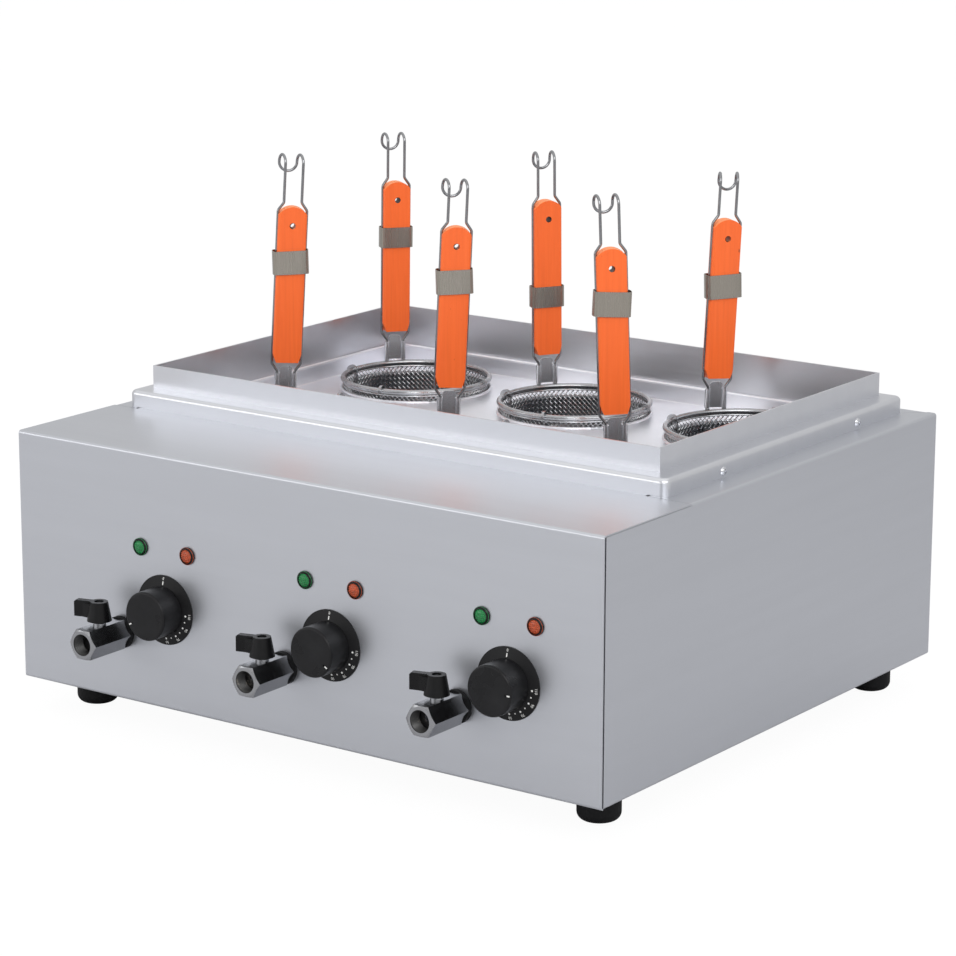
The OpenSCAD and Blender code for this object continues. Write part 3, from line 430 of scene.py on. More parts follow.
def lathe(profile, steps, closed=True):
    """Turns a list of (radius, height) about Z; a closed profile gives a ring."""
    verts = []
    for k in range(steps):
        turn = math.tau * k / steps
        verts += [Vector((r * math.cos(turn), r * math.sin(turn), h)) for r, h in profile]
    return verts, [(a, d, c, b) for a, b, c, d in quads(steps, len(profile), True, closed)]


def skin(name, shape, material, smooth=True):
    """Mesh of one piece; faces that meet at a clear edge stay sharp."""
    mesh = bpy.data.meshes.new(name)
    mesh.from_pydata([tuple(v) for v in shape[0]], [], shape[1])
    mesh.validate()
    mesh.update()
    mesh.materials.append(material)
    if smooth:
        mesh.polygons.foreach_set("use_smooth", [True] * len(mesh.polygons))
        mesh.set_sharp_from_angle(angle=math.radians(40))
    return mesh


def seat(name, mesh, body, place=None):
    """Puts a mesh in its place and lets it ride a body."""
    made = bpy.data.objects.new(name, mesh)
    bpy.context.scene.collection.objects.link(made)
    if place is not None:
        made.matrix_world = place
    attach(made, body)
    return made


def piece(name, shape, material, body, smooth=True):
    return seat(name, skin(name, shape, material, smooth), body)


def loose_parts(node):
    """The separate solids of a CAD node as shapes, the flattest first."""
    mesh = NODES[node].data
    number, verts, merged = {}, [], []
    for vertex in mesh.vertices:
        key = tuple(round(c * 1e6) for c in vertex.co)
        if key not in number:
            number[key] = len(verts)
            verts.append(vertex.co.copy())
        merged.append(number[key])
    owner = list(range(len(verts)))

    def root(i):
        while owner[i] != i:
            owner[i] = owner[owner[i]]
            i = owner[i]
        return i

    polygons = [[merged[v] for v in p.vertices] for p in mesh.polygons]
    for polygon in polygons:
        for v in polygon[1:]:
            owner[root(v)] = root(polygon[0])
    parts = {}
    for polygon in polygons:
        parts.setdefault(root(polygon[0]), []).append(polygon)
    made = []
    for group in parts.values():
        used = sorted({v for polygon in group for v in polygon})
        place = {v: k for k, v in enumerate(used)}
        made.append(([verts[v] for v in used], [tuple(place[v] for v in polygon) for polygon in group]))
    return sorted(made, key=lambda part: max(v.z for v in part[0]) - min(v.z for v in part[0]))


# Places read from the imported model

def average(points):
    return sum(points, Vector()) / len(points)


@functools.cache
def handle_parts(number):
    """Band, bracket and wires of a handle frame."""
    parts = loose_parts(f"handle_frame_{number}")
    if len(parts) < 3:
        raise RuntimeError(f"handle_frame_{number} should hold a band, a bracket and wires")
    return parts


def basket_centre(number):
    """Middle of a basket's ring, at the height of the ring's wire."""
    low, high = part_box(f"strainer_{number}")
    wire = bpy.context.scene.cooker_sizes.ring_wire
    return Vector(((low.x + high.x) / 2, (low.y + high.y) / 2, high.z + wire / 2))


def basket_turn(number):
    """Direction of a basket's handle seen from above, taken from the bracket at its foot."""
    away = average(handle_parts(number)[1][0]) - basket_centre(number)
    return math.atan2(away.y, away.x)


def basket_place(number):
    """Axes at the middle of a basket's ring, X towards its handle."""
    return Matrix.Translation(basket_centre(number)) @ Matrix.Rotation(basket_turn(number), 4, "Z")


def grip_axis(number):
    """Middle of a grip's foot and of its top."""
    end_share = 0.004
    spots = sorted((v.co.copy() for v in NODES[f"wooden_grip_{number}"].data.vertices), key=lambda v: v.z)
    foot, top = spots[0].z, spots[-1].z
    return [average([v for v in spots if abs(v.z - end) < (top - foot) * end_share]) for end in (foot, top)]


def joint_place(name):
    return Vector(JOINTS[name]["pos_m"])


# Pieces

class COOKER_OT_body(bpy.types.Operator):
    """Steel finish on the body's panels and base, rubber and nylon on feet and gland"""
    bl_idname = "cooker.body"
    bl_label = "Body"

    def execute(self, context):
        colours = context.scene.cooker_colours
        across = brushed_steel("panel_steel_across", colours.panel, "X", 0.38, 0.02, 0.015)
        along = brushed_steel("panel_steel_along", colours.panel, "Y", 0.38, 0.02, 0.015)
        dress(across, "front_panel", "rear_panel", "base_plate")
        dress(along, "left_side_panel", "right_side_panel")
        dress(moulded("foot_rubber", shade(colours.black, 0.8), 0.6, 900.0, 0.2), "rubber_feet")
        dress(moulded("gland_nylon", colours.black), "cable_gland")
        return {"FINISHED"}


class COOKER_OT_plinth(bpy.types.Operator):
    """Finish of plinth, guard, tray, wells, heaters, thermostats and screws"""
    bl_idname = "cooker.plinth"
    bl_label = "Plinth, guard and tray"

    def execute(self, context):
        colours = context.scene.cooker_colours
        dress(brushed_steel("guard_steel", colours.bright, "X", 0.32, 0.06), "plinth_frame", "splash_guard")
        # The tray is the bright steel lightened by a quarter: painted light.
        dress(brushed_steel("tray_steel", shade(colours.bright, 1.25), "X", 0.36, 0.05), "basket_tray")
        well = brushed_steel("well_steel", shade(colours.bright, 0.9), "Z", 0.32, 0.12)
        dress(well, *each("well", WELLS))
        dress(oxidised_metal("heater_tube", (0.26, 0.25, 0.25)), *each("heating_element", WELLS))
        dress(moulded("switch_shell", (0.42, 0.41, 0.38), 0.5), *each("thermostat", WELLS))
        dress(drawn_wire("screw_steel", colours.bright, 0.2), "plinth_screws")
        return {"FINISHED"}


class COOKER_OT_strainers(bpy.types.Operator):
    """Woven wire of the strainers, with a hem under the ring and a flat woven bottom"""
    bl_idname = "cooker.strainers"
    bl_label = "Strainers"

    TOP_DROP = 3.0 * MM  # start of the weave below the ring's wire
    ROWS = 160  # steps down the taper, and again round the bowl
    WAVE = 0.95  # rise of a wire at a crossing, as a share of its radius
    SPARSE_RADIUS = 34 * MM  # every second wire ends here, where the wires close up
    COARSE_RADIUS = 30 * MM  # one point for each crossing is enough further in
    BOTTOM_LAP = 1.5 * MM  # reach of the flat bottom past the end of the bowl
    BOTTOM_PITCH = 2.1 * MM
    WIRE_SIDES = 4
    HEM_DROP = 0.5 * MM
    HEM_RADIUS = 0.85 * MM
    HEM_STEPS = 96
    HEM_SIDES = 8

    def meridian(self, sizes):
        """Points (radius, height) of the weave's middle surface from the ring down to the flat bottom."""
        slope = sizes.weave_slope
        top = Vector((sizes.weave_top, -self.TOP_DROP))
        down = Vector((-math.sin(slope), -math.cos(slope)))
        run = sizes.weave_taper / math.cos(slope)
        end = top + down * run
        centre = end + Vector((-math.cos(slope), math.sin(slope))) * sizes.weave_bowl
        points = [top + down * run * k / self.ROWS for k in range(self.ROWS + 1)]
        for k in range(1, self.ROWS + 1):
            a = slope + (math.pi / 2 - slope) * k / self.ROWS
            points.append(centre + Vector((math.cos(a), -math.sin(a))) * sizes.weave_bowl)
        return points

    def samples(self, rows, count):
        """Points of a wire that runs at 45 degrees down the wall: (place, normal, turn, wave)."""
        last = len(rows) - 1
        normals = []
        for k in range(len(rows)):
            step = (rows[min(k + 1, last)] - rows[max(k - 1, 0)]).normalized()
            normals.append(Vector((-step.y, step.x)))
        turns = [0.0]
        for a, b in zip(rows, rows[1:]):
            turns.append(turns[-1] + (b - a).length / ((a.x + b.x) / 2))
        crossings = [t * count / math.pi for t in turns]
        made = []
        target = 0.0
        for k in range(last):
            while crossings[k] <= target < crossings[k + 1]:
                share = (target - crossings[k]) / (crossings[k + 1] - crossings[k])
                spot = rows[k].lerp(rows[k + 1], share)
                normal = normals[k].lerp(normals[k + 1], share)
                turn = turns[k] + (turns[k + 1] - turns[k]) * share
                made.append((spot, normal, turn, math.cos(math.pi * target)))
                target += 0.5 if spot.x > self.COARSE_RADIUS else 1.0
        return made

    def wall(self, rows, count, radius):
        """Two families of wires that wind down the wall, over and under each other."""
        lift = radius * self.WAVE
        full = self.samples(rows, count)
        short = [sample for sample in full if sample[0].x > self.SPARSE_RADIUS]
        shape = [], []
        for way in (1, -1):
            for w in range(count):
                start = math.tau * w / count
                points = []
                for spot, normal, turn, wave in (full if w % 2 == 0 else short):
                    at = spot + normal * (wave * way * lift)
                    a = start + way * turn
                    points.append(Vector((at.x * math.cos(a), at.x * math.sin(a), at.y)))
                add_part(shape, tube(points, radius, self.WIRE_SIDES))
        return shape

    def bottom(self, edge, radius):
        """Two families of straight wires within the end of the bowl."""
        lift = radius * self.WAVE
        pitch = self.BOTTOM_PITCH
        reach = edge.x + self.BOTTOM_LAP
        limit = int(reach / pitch)
        shape = [], []
        for way in (0, 1):
            for k in range(-limit, limit + 1):
                offset = k * pitch
                span = math.sqrt(max(reach ** 2 - offset ** 2, 0))
                steps = max(int(2 * span / pitch), 2)
                points = []
                for i in range(steps + 1):
                    along = -span + 2 * span * i / steps
                    wave = math.cos(math.pi * (along / pitch + k + way)) * lift
                    points.append(Vector((along, offset, edge.y + wave)) if way == 0
                                  else Vector((offset, along, edge.y - wave)))
                add_part(shape, tube(points, radius, self.WIRE_SIDES))
        return shape

    def execute(self, context):
        sizes = context.scene.cooker_sizes
        wire = drawn_wire("weave_wire", shade(context.scene.cooker_colours.wire, 1.05), 0.22)
        radius = sizes.weave_wire / 2
        rows = self.meridian(sizes)
        shape = self.wall(rows, sizes.weave_count, radius)
        add_part(shape, self.bottom(rows[-1], radius))
        hem = circle(sizes.weave_top, self.HEM_STEPS, rows[0].y - self.HEM_DROP)
        add_part(shape, tube(hem, self.HEM_RADIUS, self.HEM_SIDES, True))
        mesh = skin("woven_strainer", shape, wire)
        for number in BASKETS:
            place = basket_place(number)
            made = seat(f"woven_strainer_{number}", mesh, f"basket_{number}", place)
            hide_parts(f"strainer_{number}")
        return {"FINISHED"}


class COOKER_OT_handles(bpy.types.Operator):
    """Rings, wires, brackets, bands and grips of the baskets, with the welds at the rings"""
    bl_idname = "cooker.handles"
    bl_label = "Basket handles"

    BAND_CORNER = 3.0 * MM
    BAND_LIP = 0.96  # a band's edges turn in to this share of its reach
    CORNERS = ((1, 1), (-1, 1), (-1, -1), (1, -1))
    CORNER_STEPS = 6
    FACE_STEPS = 10
    EYE_WALL = 0.25 * MM
    EYE_SET_BACK = 0.3 * MM
    EYE_STEPS = 32
    WELD_PLACE = (67.6 * MM, 8 * MM, 2.9 * MM)  # out from the ring's middle, to each side, up
    WELD_WIDE, WELD_HIGH = 2.0 * MM, 1.3 * MM
    WELD_TIP = 0.02 * MM
    WELD_ROWS, WELD_STEPS = 8, 14

    def band(self, spots, up, turn, crown):
        """Sheet band that bulges a little on its faces, fitted to the points of the plain band."""
        up = up.normalized()
        out = Vector((math.cos(turn), math.sin(turn), 0))
        side = up.cross(out).normalized()
        middle = Vector([(min(c) + max(c)) / 2 for c in zip(*spots)])
        deep, wide, high = (max(abs((v - middle).dot(axis)) for v in spots) for axis in (out, side, up))

        def corner_point(quarter, angle):
            sx, sy = self.CORNERS[quarter % 4]
            return Vector((sx * (deep - self.BAND_CORNER) + self.BAND_CORNER * math.cos(angle),
                           sy * (wide - self.BAND_CORNER) + self.BAND_CORNER * math.sin(angle)))

        loop = []
        for quarter in range(4):
            for k in range(self.CORNER_STEPS + 1):
                loop.append(corner_point(quarter, math.radians(90 * (quarter + k / self.CORNER_STEPS))))
            facing = math.radians(90 * (quarter + 1))
            bulge = Vector((math.cos(facing), math.sin(facing))) * crown
            start, end = loop[-1], corner_point(quarter + 1, facing)
            for k in range(1, self.FACE_STEPS):
                share = k / self.FACE_STEPS
                loop.append(start.lerp(end, share) + bulge * (4 * share * (1 - share)))
        rows = ((self.BAND_LIP, -high), (1.0, -high), (1.0, high), (self.BAND_LIP, high))
        verts = [middle + out * (p.x * reach) + side * (p.y * reach) + up * h
                 for reach, h in rows for p in loop]
        return verts, quads(len(rows), len(loop))

    def eye_wall(self, sizes, turn, foot, top):
        """Wall of the hanging eye near the top of a grip."""
        across = Matrix.Rotation(turn, 4, "Z") @ Matrix.Rotation(math.radians(90), 4, "Y")
        place = Matrix.Translation(top + (foot - top).normalized() * sizes.eye_drop) @ across
        half = sizes.grip_thickness / 2 - self.EYE_SET_BACK
        outer, inner = sizes.eye_radius, sizes.eye_radius - self.EYE_WALL
        profile = [(outer, half), (inner, half), (inner, -half), (outer, -half)]
        return moved(lathe(profile, self.EYE_STEPS), place)

    def welds(self, place):
        """Two beads where the bracket meets the ring."""
        bead = []
        for k in range(self.WELD_ROWS + 1):
            a = math.pi * k / self.WELD_ROWS
            bead.append((max(self.WELD_WIDE * math.sin(a), self.WELD_TIP), -self.WELD_HIGH * math.cos(a)))
        out, aside, up = self.WELD_PLACE
        shape = [], []
        for side in (-1, 1):
            spot = Matrix.Translation((out, side * aside, up))
            add_part(shape, moved(lathe(bead, self.WELD_STEPS, False), place @ spot))
        return shape

    def execute(self, context):
        sizes = context.scene.cooker_sizes
        colours = context.scene.cooker_colours
        handle_wire = drawn_wire("handle_wire", shade(colours.wire, 0.72), 0.2)
        sheet = brushed_steel("bracket_sheet", shade(colours.wire, 1.9), "Z", 0.26, 0.03)
        # The bands' olive tone is a painted reflection over their steel grey.
        strip = brushed_steel("band_strip", shade(colours.band, 1.05), "Z", 0.27, 0.05, 0.06)
        # The eye's wall is a very dark stained wood: painted shade inside the hole.
        hole_shade = stained_wood("eye_wall", (0.10, 0.025, 0.010))
        weld = oxidised_metal("weld_bead", (0.45, 0.45, 0.46))
        dress(drawn_wire("ring_wire", colours.wire), *each("basket_ring", BASKETS))
        dress(stained_wood("orange_wood", colours.stain), *each("wooden_grip", BASKETS))
        for number in BASKETS:
            body = f"basket_{number}"
            band, bracket, *wires = handle_parts(number)
            shape = [], []
            for part in wires:
                add_part(shape, part)
            made = piece(f"handle_wires_{number}", shape, handle_wire, body)
            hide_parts(f"handle_frame_{number}")
            piece(f"handle_bracket_{number}", bracket, sheet, body)
            turn = basket_turn(number)
            foot, top = grip_axis(number)
            ring = self.band(band[0], top - foot, turn, sizes.band_crown)
            piece(f"grip_band_{number}", ring, strip, body)
            piece(f"eye_wall_{number}", self.eye_wall(sizes, turn, foot, top), hole_shade, body)
            piece(f"ring_welds_{number}", self.welds(basket_place(number)), weld, body)
        return {"FINISHED"}


class COOKER_OT_dials(bpy.types.Operator):
    """Knobs with their pointers and the printed dials behind them"""
    bl_idname = "cooker.dials"
    bl_label = "Knobs and dials"

    CAP_HEIGHT = 0.7  # height of a figure as a share of its font's size
    RIM, CROWN = 0.8 * MM, 3.0 * MM  # heights of the dial's cone at its rim and at the knob
    INK_LIFT = 0.06 * MM
    MARKS, MARK_START, MARK_STEP = 9, 93, 13.5  # count, then degrees by the clock
    MARK_RING, FIGURE_RING, BAR_RING = 24.0 * MM, 27.3 * MM, 23.6 * MM
    MARK_RADII = (0.85 * MM, 0.62 * MM)  # with and without a figure
    MARK_SIDES = 14
    FIGURE_HEIGHT = 2.3 * MM
    HOTTEST, FIGURE_STEP = 110, 10
    BAR_HALF_WIDE, BAR_HALF_HIGH = 0.5 * MM, 1.5 * MM
    POINTER_NEAR, POINTER_FAR = 16.9 * MM, 19.4 * MM  # distances from the knob's axis
    POINTER_HALF_WIDE, POINTER_DEEP = 0.55 * MM, 0.5 * MM
    POINTER_SET_BACK = 0.12 * MM
    POINTER_STEPS = 8

    def figure(self, text):
        """Flat figures centred on the origin."""
        curve = bpy.data.curves.new("figure", "FONT")
        curve.body = text
        curve.size = self.FIGURE_HEIGHT / self.CAP_HEIGHT
        curve.align_x = "CENTER"
        curve.align_y = "CENTER"
        curve.resolution_u = 3
        holder = bpy.data.objects.new("figure", curve)
        mesh = bpy.data.meshes.new_from_object(holder)
        verts = [v.co.copy() for v in mesh.vertices]
        faces = [tuple(p.vertices) for p in mesh.polygons]
        bpy.data.objects.remove(holder)
        bpy.data.curves.remove(curve)
        bpy.data.meshes.remove(mesh)
        return verts, faces

    def dial_print(self, sizes, axis):
        """Dots and figures on the dial's cone, and a bar at the top."""
        lean = math.atan2(self.CROWN - self.RIM, sizes.dial_radius - sizes.knob_radius)

        def on_dial(angle, radius):
            height = self.CROWN - (radius - sizes.knob_radius) * math.tan(lean) + self.INK_LIFT
            turn = Matrix.Rotation(-math.radians(angle), 4, "Z")
            tilt = Matrix.Translation((0, radius, height)) @ Matrix.Rotation(-lean, 4, "X")
            return Matrix.Translation(axis) @ FACE_OUT @ turn @ tilt

        shape = [], []
        for k in range(self.MARKS):
            angle = self.MARK_START + k * self.MARK_STEP
            dot = circle(self.MARK_RADII[k % 2], self.MARK_SIDES), [tuple(range(self.MARK_SIDES))]
            add_part(shape, moved(dot, on_dial(angle, self.MARK_RING)))
            if k % 2 == 0:
                figure = self.figure(str(self.HOTTEST - self.FIGURE_STEP * k))
                add_part(shape, moved(figure, on_dial(angle, self.FIGURE_RING)))
        x, y = self.BAR_HALF_WIDE, self.BAR_HALF_HIGH
        corners = ((-x, -y, 0), (x, -y, 0), (x, y, 0), (-x, y, 0))
        bar = [Vector(corner) for corner in corners], [(0, 1, 2, 3)]
        add_part(shape, moved(bar, on_dial(0, self.BAR_RING)))
        add_part(shape, moved(self.figure("0"), on_dial(0, self.FIGURE_RING)))
        return shape

    def pointer(self, sizes, place):
        """White inlay in a knob's notch, which follows the knob's rounded edge."""
        wide = self.POINTER_HALF_WIDE
        edge = sizes.knob_radius - sizes.knob_edge
        verts = []
        for k in range(self.POINTER_STEPS + 1):
            r = self.POINTER_NEAR + (self.POINTER_FAR - self.POINTER_NEAR) * k / self.POINTER_STEPS
            face = -self.POINTER_SET_BACK
            if r > edge:
                face -= sizes.knob_edge - math.sqrt(max(sizes.knob_edge ** 2 - (r - edge) ** 2, 0))
            back = face - self.POINTER_DEEP
            for x, z in ((-wide, face), (wide, face), (wide, back), (-wide, back)):
                verts.append(place @ Vector((x, r, z)))
        ends = [(3, 2, 1, 0), tuple(4 * self.POINTER_STEPS + s for s in range(4))]
        return verts, quads(self.POINTER_STEPS + 1, 4) + ends

    def execute(self, context):
        sizes = context.scene.cooker_sizes
        black = context.scene.cooker_colours.black
        dress(moulded("knob_plastic", black, 0.32, 1500.0, 0.06), *each("knob", WELLS))
        dress(moulded("dial_plastic", shade(black, 0.7), 0.4, 1100.0, 0.05), "dial_rings")
        ink = print_white("dial_ink")
        for number in WELLS:
            knob = f"knob_{number}"
            axis = joint_place(f"{knob}_turn")
            marks = self.dial_print(sizes, axis)
            piece(f"dial_print_{number}", marks, ink, "cooker", False)
            # At rest the knob stands this far round from its stop at the top
            rest = -math.radians(JOINTS[f"{knob}_turn"]["range_deg"][0])
            face = Vector((axis.x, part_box(knob)[0].y, axis.z))
            place = Matrix.Translation(face) @ FACE_OUT @ Matrix.Rotation(-rest, 4, "Z")
            piece(f"knob_pointer_{number}", self.pointer(sizes, place), ink, knob, False)
        return {"FINISHED"}


class COOKER_OT_lamps(bpy.types.Operator):
    """Faceted lenses and dark bezels of the lamps"""
    bl_idname = "cooker.lamps"
    bl_label = "Lamps"

    BEZEL_STEPS = 40
    BEZEL_OUTSIDE = ((0.1, -3.75), (0.1, -2.6), (-0.7, -1.6))  # past the lamp's rim, height, in mm
    BEZEL_INSIDE = ((0.15, -1.2), (0.1, -3.6))  # past the lens's edge, height, in mm
    FACET = 1.5 * MM
    FACET_ROOT, FACET_TIP = 0.1 * MM, 0.55 * MM  # below and above the dome
    FACET_MARGIN = 0.75 * MM
    FACET_FACES = [(0, 1, 4), (1, 2, 4), (2, 3, 4), (3, 0, 4), (3, 2, 1, 0)]
    DOME_DROP = 2.112 * MM  # fall of the dome from its middle to its edge

    def bezel(self, outer, lens):
        """Ring round the lens, with heights from the front of the lens."""
        profile = [(outer + past * MM, height * MM) for past, height in self.BEZEL_OUTSIDE]
        profile += [(lens + past * MM, height * MM) for past, height in self.BEZEL_INSIDE]
        return lathe(profile, self.BEZEL_STEPS)

    def facets(self, lens):
        """Grid of small pyramids over the dome of the lens."""
        half = self.FACET / 2
        reach = int(lens / self.FACET) + 1
        shape = [], []
        for i in range(-reach, reach):
            for j in range(-reach, reach):
                x, y = (i + 0.5) * self.FACET, (j + 0.5) * self.FACET
                away = math.hypot(x, y)
                if away > lens - self.FACET_MARGIN:
                    continue
                dome = -self.DOME_DROP * (away / lens) ** 2
                root = dome - self.FACET_ROOT
                corners = [Vector((x - half, y - half, root)), Vector((x + half, y - half, root)),
                           Vector((x + half, y + half, root)), Vector((x - half, y + half, root)),
                           Vector((x, y, dome + self.FACET_TIP))]
                add_part(shape, (corners, self.FACET_FACES))
        return shape

    def execute(self, context):
        lens = context.scene.cooker_sizes.lens_radius
        colours = context.scene.cooker_colours
        bezel = moulded("lamp_bezel", shade(colours.black, 0.7), 0.25, 900.0, 0.05)
        knobs = [joint_place(f"knob_{n}_turn").x for n in WELLS]
        for name, colour in (("green", colours.green), ("amber", colours.amber)):
            plastic = tinted_lens(f"{name}_lens_plastic", colour)
            dress(plastic, f"{name}_lamps")
            low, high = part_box(f"{name}_lamps")
            outer = (high.z - low.z) / 2
            rings, lenses = ([], []), ([], [])
            for x in knobs:
                spot = (low.x + outer + x - knobs[0], low.y, (low.z + high.z) / 2)
                place = Matrix.Translation(spot) @ FACE_OUT
                add_part(rings, moved(self.bezel(outer, lens), place))
                add_part(lenses, moved(self.facets(lens), place))
            piece(f"{name}_lamp_bezels", rings, bezel, "cooker")
            piece(f"{name}_lens_facets", lenses, plastic, "cooker", False)
        return {"FINISHED"}


class COOKER_OT_valves(bpy.types.Operator):
    """Plated drain valves with threaded outlets, levers and lever screws"""
    bl_idname = "cooker.valves"
    bl_label = "Drain valves"

    THREAD_PITCH, THREAD_TURNS = 1.8 * MM, 6
    THREAD_START = 1.0 * MM
    THREAD_ROOT, THREAD_CREST = 0.05 * MM, 0.75 * MM  # inwards from the bore
    CREST_SHARES = (0.45, 0.55)  # start and end of the crest within a pitch
    THREAD_STEPS = 48
    MOUTH_GAP, MOUTH_DEPTH = 0.02 * MM, 0.4 * MM
    SCREW_SINK = 2.0 * MM
    SCREW_HEAD = [(0.0001 * MM, 1.1 * MM), (1.2 * MM, 1.05 * MM), (2.6 * MM, 0.75 * MM),
                  (3.4 * MM, 0.1 * MM), (3.4 * MM, 0.02 * MM)]  # (radius, height)
    SCREW_STEPS = 28

    def outlet(self, sizes):
        """Thread of an outlet, from its mouth back to the port."""
        bore = sizes.outlet_radius
        root, crest = bore - self.THREAD_ROOT, bore - self.THREAD_CREST
        end = self.MOUTH_DEPTH - sizes.outlet_depth
        profile = [(bore - self.MOUTH_GAP, -self.MOUTH_DEPTH)]
        for k in range(self.THREAD_TURNS):
            h = -self.THREAD_START - k * self.THREAD_PITCH
            profile.append((root, h))
            profile += [(crest, h - self.THREAD_PITCH * share) for share in self.CREST_SHARES]
        profile += [(root, -self.THREAD_START - self.THREAD_TURNS * self.THREAD_PITCH),
                    (root, end), (sizes.port_radius, end)]
        return lathe(profile, self.THREAD_STEPS, False)

    def execute(self, context):
        sizes = context.scene.cooker_sizes
        colours = context.scene.cooker_colours
        chrome = plated_chrome("valve_plating", colours.chrome)
        dress(chrome, *each("valve_body", WELLS), *each("valve_ball", WELLS))
        lever = moulded("lever_plastic", shade(colours.black, 0.5), 0.32, 1500.0, 0.05)
        dress(lever, *each("valve_lever", WELLS))
        dress(moulded("gasket_rubber", shade(colours.black, 0.7), 0.6, 900.0, 0.15), "valve_gaskets")
        # The very dark metal on the outlet's thread is painted shade in the bore; the lever screws share
        # it.
        bore_shade_and_screw_metal = oxidised_metal("outlet_shade_and_screw_metal", (0.10, 0.10, 0.10))
        for number in WELLS:
            tap = f"drain_tap_{number}"
            axis = joint_place(f"{tap}_turn")
            mouth = Matrix.Translation((axis.x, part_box(f"valve_body_{number}")[0].y, axis.z)) @ FACE_OUT
            thread = moved(self.outlet(sizes), mouth)
            piece(f"outlet_thread_{number}", thread, bore_shade_and_screw_metal, "cooker", False)
            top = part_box(f"valve_lever_{number}")[1].z
            recess = Matrix.Translation((axis.x, axis.y, top - self.SCREW_SINK))
            screw = moved(lathe(self.SCREW_HEAD, self.SCREW_STEPS, False), recess)
            piece(f"lever_screw_{number}", screw, bore_shade_and_screw_metal, tap)
        return {"FINISHED"}


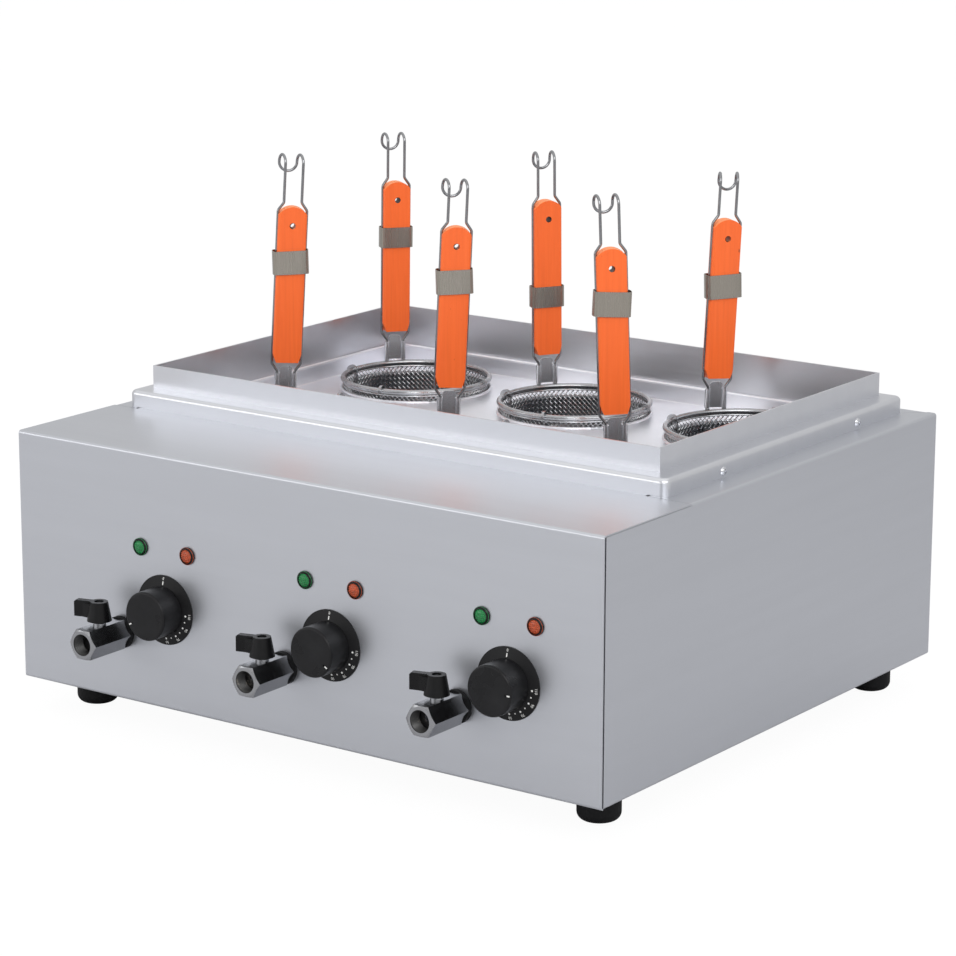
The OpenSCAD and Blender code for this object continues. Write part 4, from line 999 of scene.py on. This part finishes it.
class COOKER_OT_stage(bpy.types.Operator):
    """Pale floor, soft studio light and the camera"""
    bl_idname = "cooker.stage"
    bl_label = "Studio"

    CAMERA_ANGLES = (35.71, 13.84, 0.14)  # azimuth, elevation and roll in degrees
    CAMERA_PLACE = (1.7029, -2.1151, 0.917)  # its second number from the front panel
    CAMERA_LENS, CAMERA_SENSOR = 130.89, 36  # mm
    FLOOR_HALF, FLOOR_DROP = 9.0, 0.0005
    FLOOR_GLOW, FLOOR_GLOW_SHARE = 1.06, 0.9
    WORLD_LIGHT, WORLD_GLOSS = 0.88, 0.67  # strength as light and in reflections
    SOFT_BOXES = (  # name, place, aim, width and height, power
        ("overhead_box", (-0.3, 0.1, 2.4), (0, 0.1, 0.2), (4.4, 3.6), 16),
        ("low_front_box", (-1.9, -2.8, 1.1), (0, 0, 0.25), (3.2, 1.2), 18),
        ("camera_box", (2.1, -2.3, 2.3), (0, 0, 0.35), (2.0, 1.6), 38),
        ("right_box", (2.4, -0.5, 1.8), (0.5, 0.2, 0), (1.2, 1.4), 8),
    )

    def camera(self, scene):
        azimuth, elevation, roll = (math.radians(a) for a in self.CAMERA_ANGLES)
        back = Vector((math.sin(azimuth) * math.cos(elevation), -math.cos(azimuth) * math.cos(elevation),
                       math.sin(elevation)))
        right = Vector((math.cos(azimuth), math.sin(azimuth), 0))
        up = back.cross(right)
        turned = math.cos(roll) * right + math.sin(roll) * up
        upright = -math.sin(roll) * right + math.cos(roll) * up
        lens = bpy.data.cameras.new("camera")
        lens.sensor_width = self.CAMERA_SENSOR
        lens.lens = self.CAMERA_LENS
        made = bpy.data.objects.new("camera", lens)
        made.matrix_world = Matrix((turned, upright, back)).transposed().to_4x4()
        made.location = Vector(self.CAMERA_PLACE) + Vector((0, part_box("front_panel")[0].y, 0))
        scene.collection.objects.link(made)
        scene.camera = made

    def floor(self, scene):
        """Floor that keeps the shadow, and is white to the camera."""
        colour = scene.cooker_colours.floor
        floor = Finish("studio_floor", colour, 0.0, 0.7)
        grain = floor.noise((40.0, 40.0, 40.0), 3)
        floor.colour(floor.ramp(grain, [(0.3, shade(colour, 0.98)), (0.7, colour)]))
        path = floor.node("ShaderNodeLightPath")
        glow = floor.node("ShaderNodeEmission", Strength=self.FLOOR_GLOW)
        share = floor.node("ShaderNodeMath")
        share.operation = "MULTIPLY"
        share.inputs[1].default_value = self.FLOOR_GLOW_SHARE
        floor.link(path.outputs["Is Camera Ray"], share.inputs[0])
        blend = floor.node("ShaderNodeMixShader")
        floor.link(share.outputs[0], blend.inputs["Fac"])
        floor.link(floor.shader.outputs[0], blend.inputs[1])
        floor.link(glow.outputs[0], blend.inputs[2])
        floor.link(blend.outputs[0], floor.tree.nodes["Material Output"].inputs["Surface"])
        half = self.FLOOR_HALF
        mesh = bpy.data.meshes.new("studio_floor")
        mesh.from_pydata([(-half, -half, 0), (half, -half, 0), (half, half, 0), (-half, half, 0)],
                         [], [(0, 1, 2, 3)])
        mesh.materials.append(floor.material)
        ground = bpy.data.objects.new("studio_floor", mesh)
        ground.location.z = -self.FLOOR_DROP
        scene.collection.objects.link(ground)

    def world(self, scene):
        """World that is white to the camera, and softer as light and in reflections."""
        world = bpy.data.worlds.new("studio_world")
        scene.world = world
        world.use_nodes = True
        tree = world.node_tree
        path = tree.nodes.new("ShaderNodeLightPath")
        strength = tree.nodes.new("ShaderNodeValue").outputs[0]
        strength.default_value = self.WORLD_LIGHT
        rays = (("Is Camera Ray", 1.0), ("Is Glossy Ray", self.WORLD_GLOSS), ("Is Transmission Ray", 1.0))
        for ray, level in rays:
            extra = tree.nodes.new("ShaderNodeMath")
            extra.operation = "MULTIPLY_ADD"
            extra.inputs[1].default_value = level - self.WORLD_LIGHT
            tree.links.new(path.outputs[ray], extra.inputs[0])
            tree.links.new(strength, extra.inputs[2])
            strength = extra.outputs[0]
        background = tree.nodes["Background"].inputs
        background["Color"].default_value = (1, 1, 1, 1)
        tree.links.new(strength, background["Strength"])

    def soft_box(self, scene, name, place, aim, size, power):
        light = bpy.data.lights.new(name, "AREA")
        light.shape = "RECTANGLE"
        light.size, light.size_y = size
        light.energy = power
        made = bpy.data.objects.new(name, light)
        made.location = place
        made.rotation_euler = (Vector(aim) - Vector(place)).to_track_quat("-Z", "Y").to_euler()
        scene.collection.objects.link(made)

    def execute(self, context):
        scene = context.scene
        scene.view_settings.view_transform = "Standard"
        self.camera(scene)
        self.floor(scene)
        self.world(scene)
        for soft_box in self.SOFT_BOXES:
            self.soft_box(scene, *soft_box)
        return {"FINISHED"}


class COOKER_PT_panel(bpy.types.Panel):
    """Lists the cooker's pieces and settings"""
    bl_idname = "COOKER_PT_panel"
    bl_label = "Pasta cooker"
    bl_space_type = "VIEW_3D"
    bl_region_type = "UI"
    bl_category = "Cooker"

    def draw(self, context):
        layout = self.layout
        for operator in OPERATORS:
            layout.operator(operator.bl_idname)
        for group in (context.scene.cooker_sizes, context.scene.cooker_colours):
            box = layout.box()
            for name in group.__annotations__:
                box.prop(group, name)


OPERATORS = (COOKER_OT_body, COOKER_OT_plinth, COOKER_OT_strainers, COOKER_OT_handles, COOKER_OT_dials,
             COOKER_OT_lamps, COOKER_OT_valves, COOKER_OT_stage)
CLASSES = (CookerSizes, CookerColours, *OPERATORS, COOKER_PT_panel)


def register():
    for cls in CLASSES:
        bpy.utils.register_class(cls)
    bpy.types.Scene.cooker_sizes = PointerProperty(type=CookerSizes)
    bpy.types.Scene.cooker_colours = PointerProperty(type=CookerColours)


def unregister():
    del bpy.types.Scene.cooker_colours
    del bpy.types.Scene.cooker_sizes
    for cls in reversed(CLASSES):
        bpy.utils.unregister_class(cls)


def main():
    register()
    for operator in OPERATORS:
        group, name = operator.bl_idname.split(".")
        getattr(getattr(bpy.ops, group), name)()


if __name__ == "__main__":
    main()
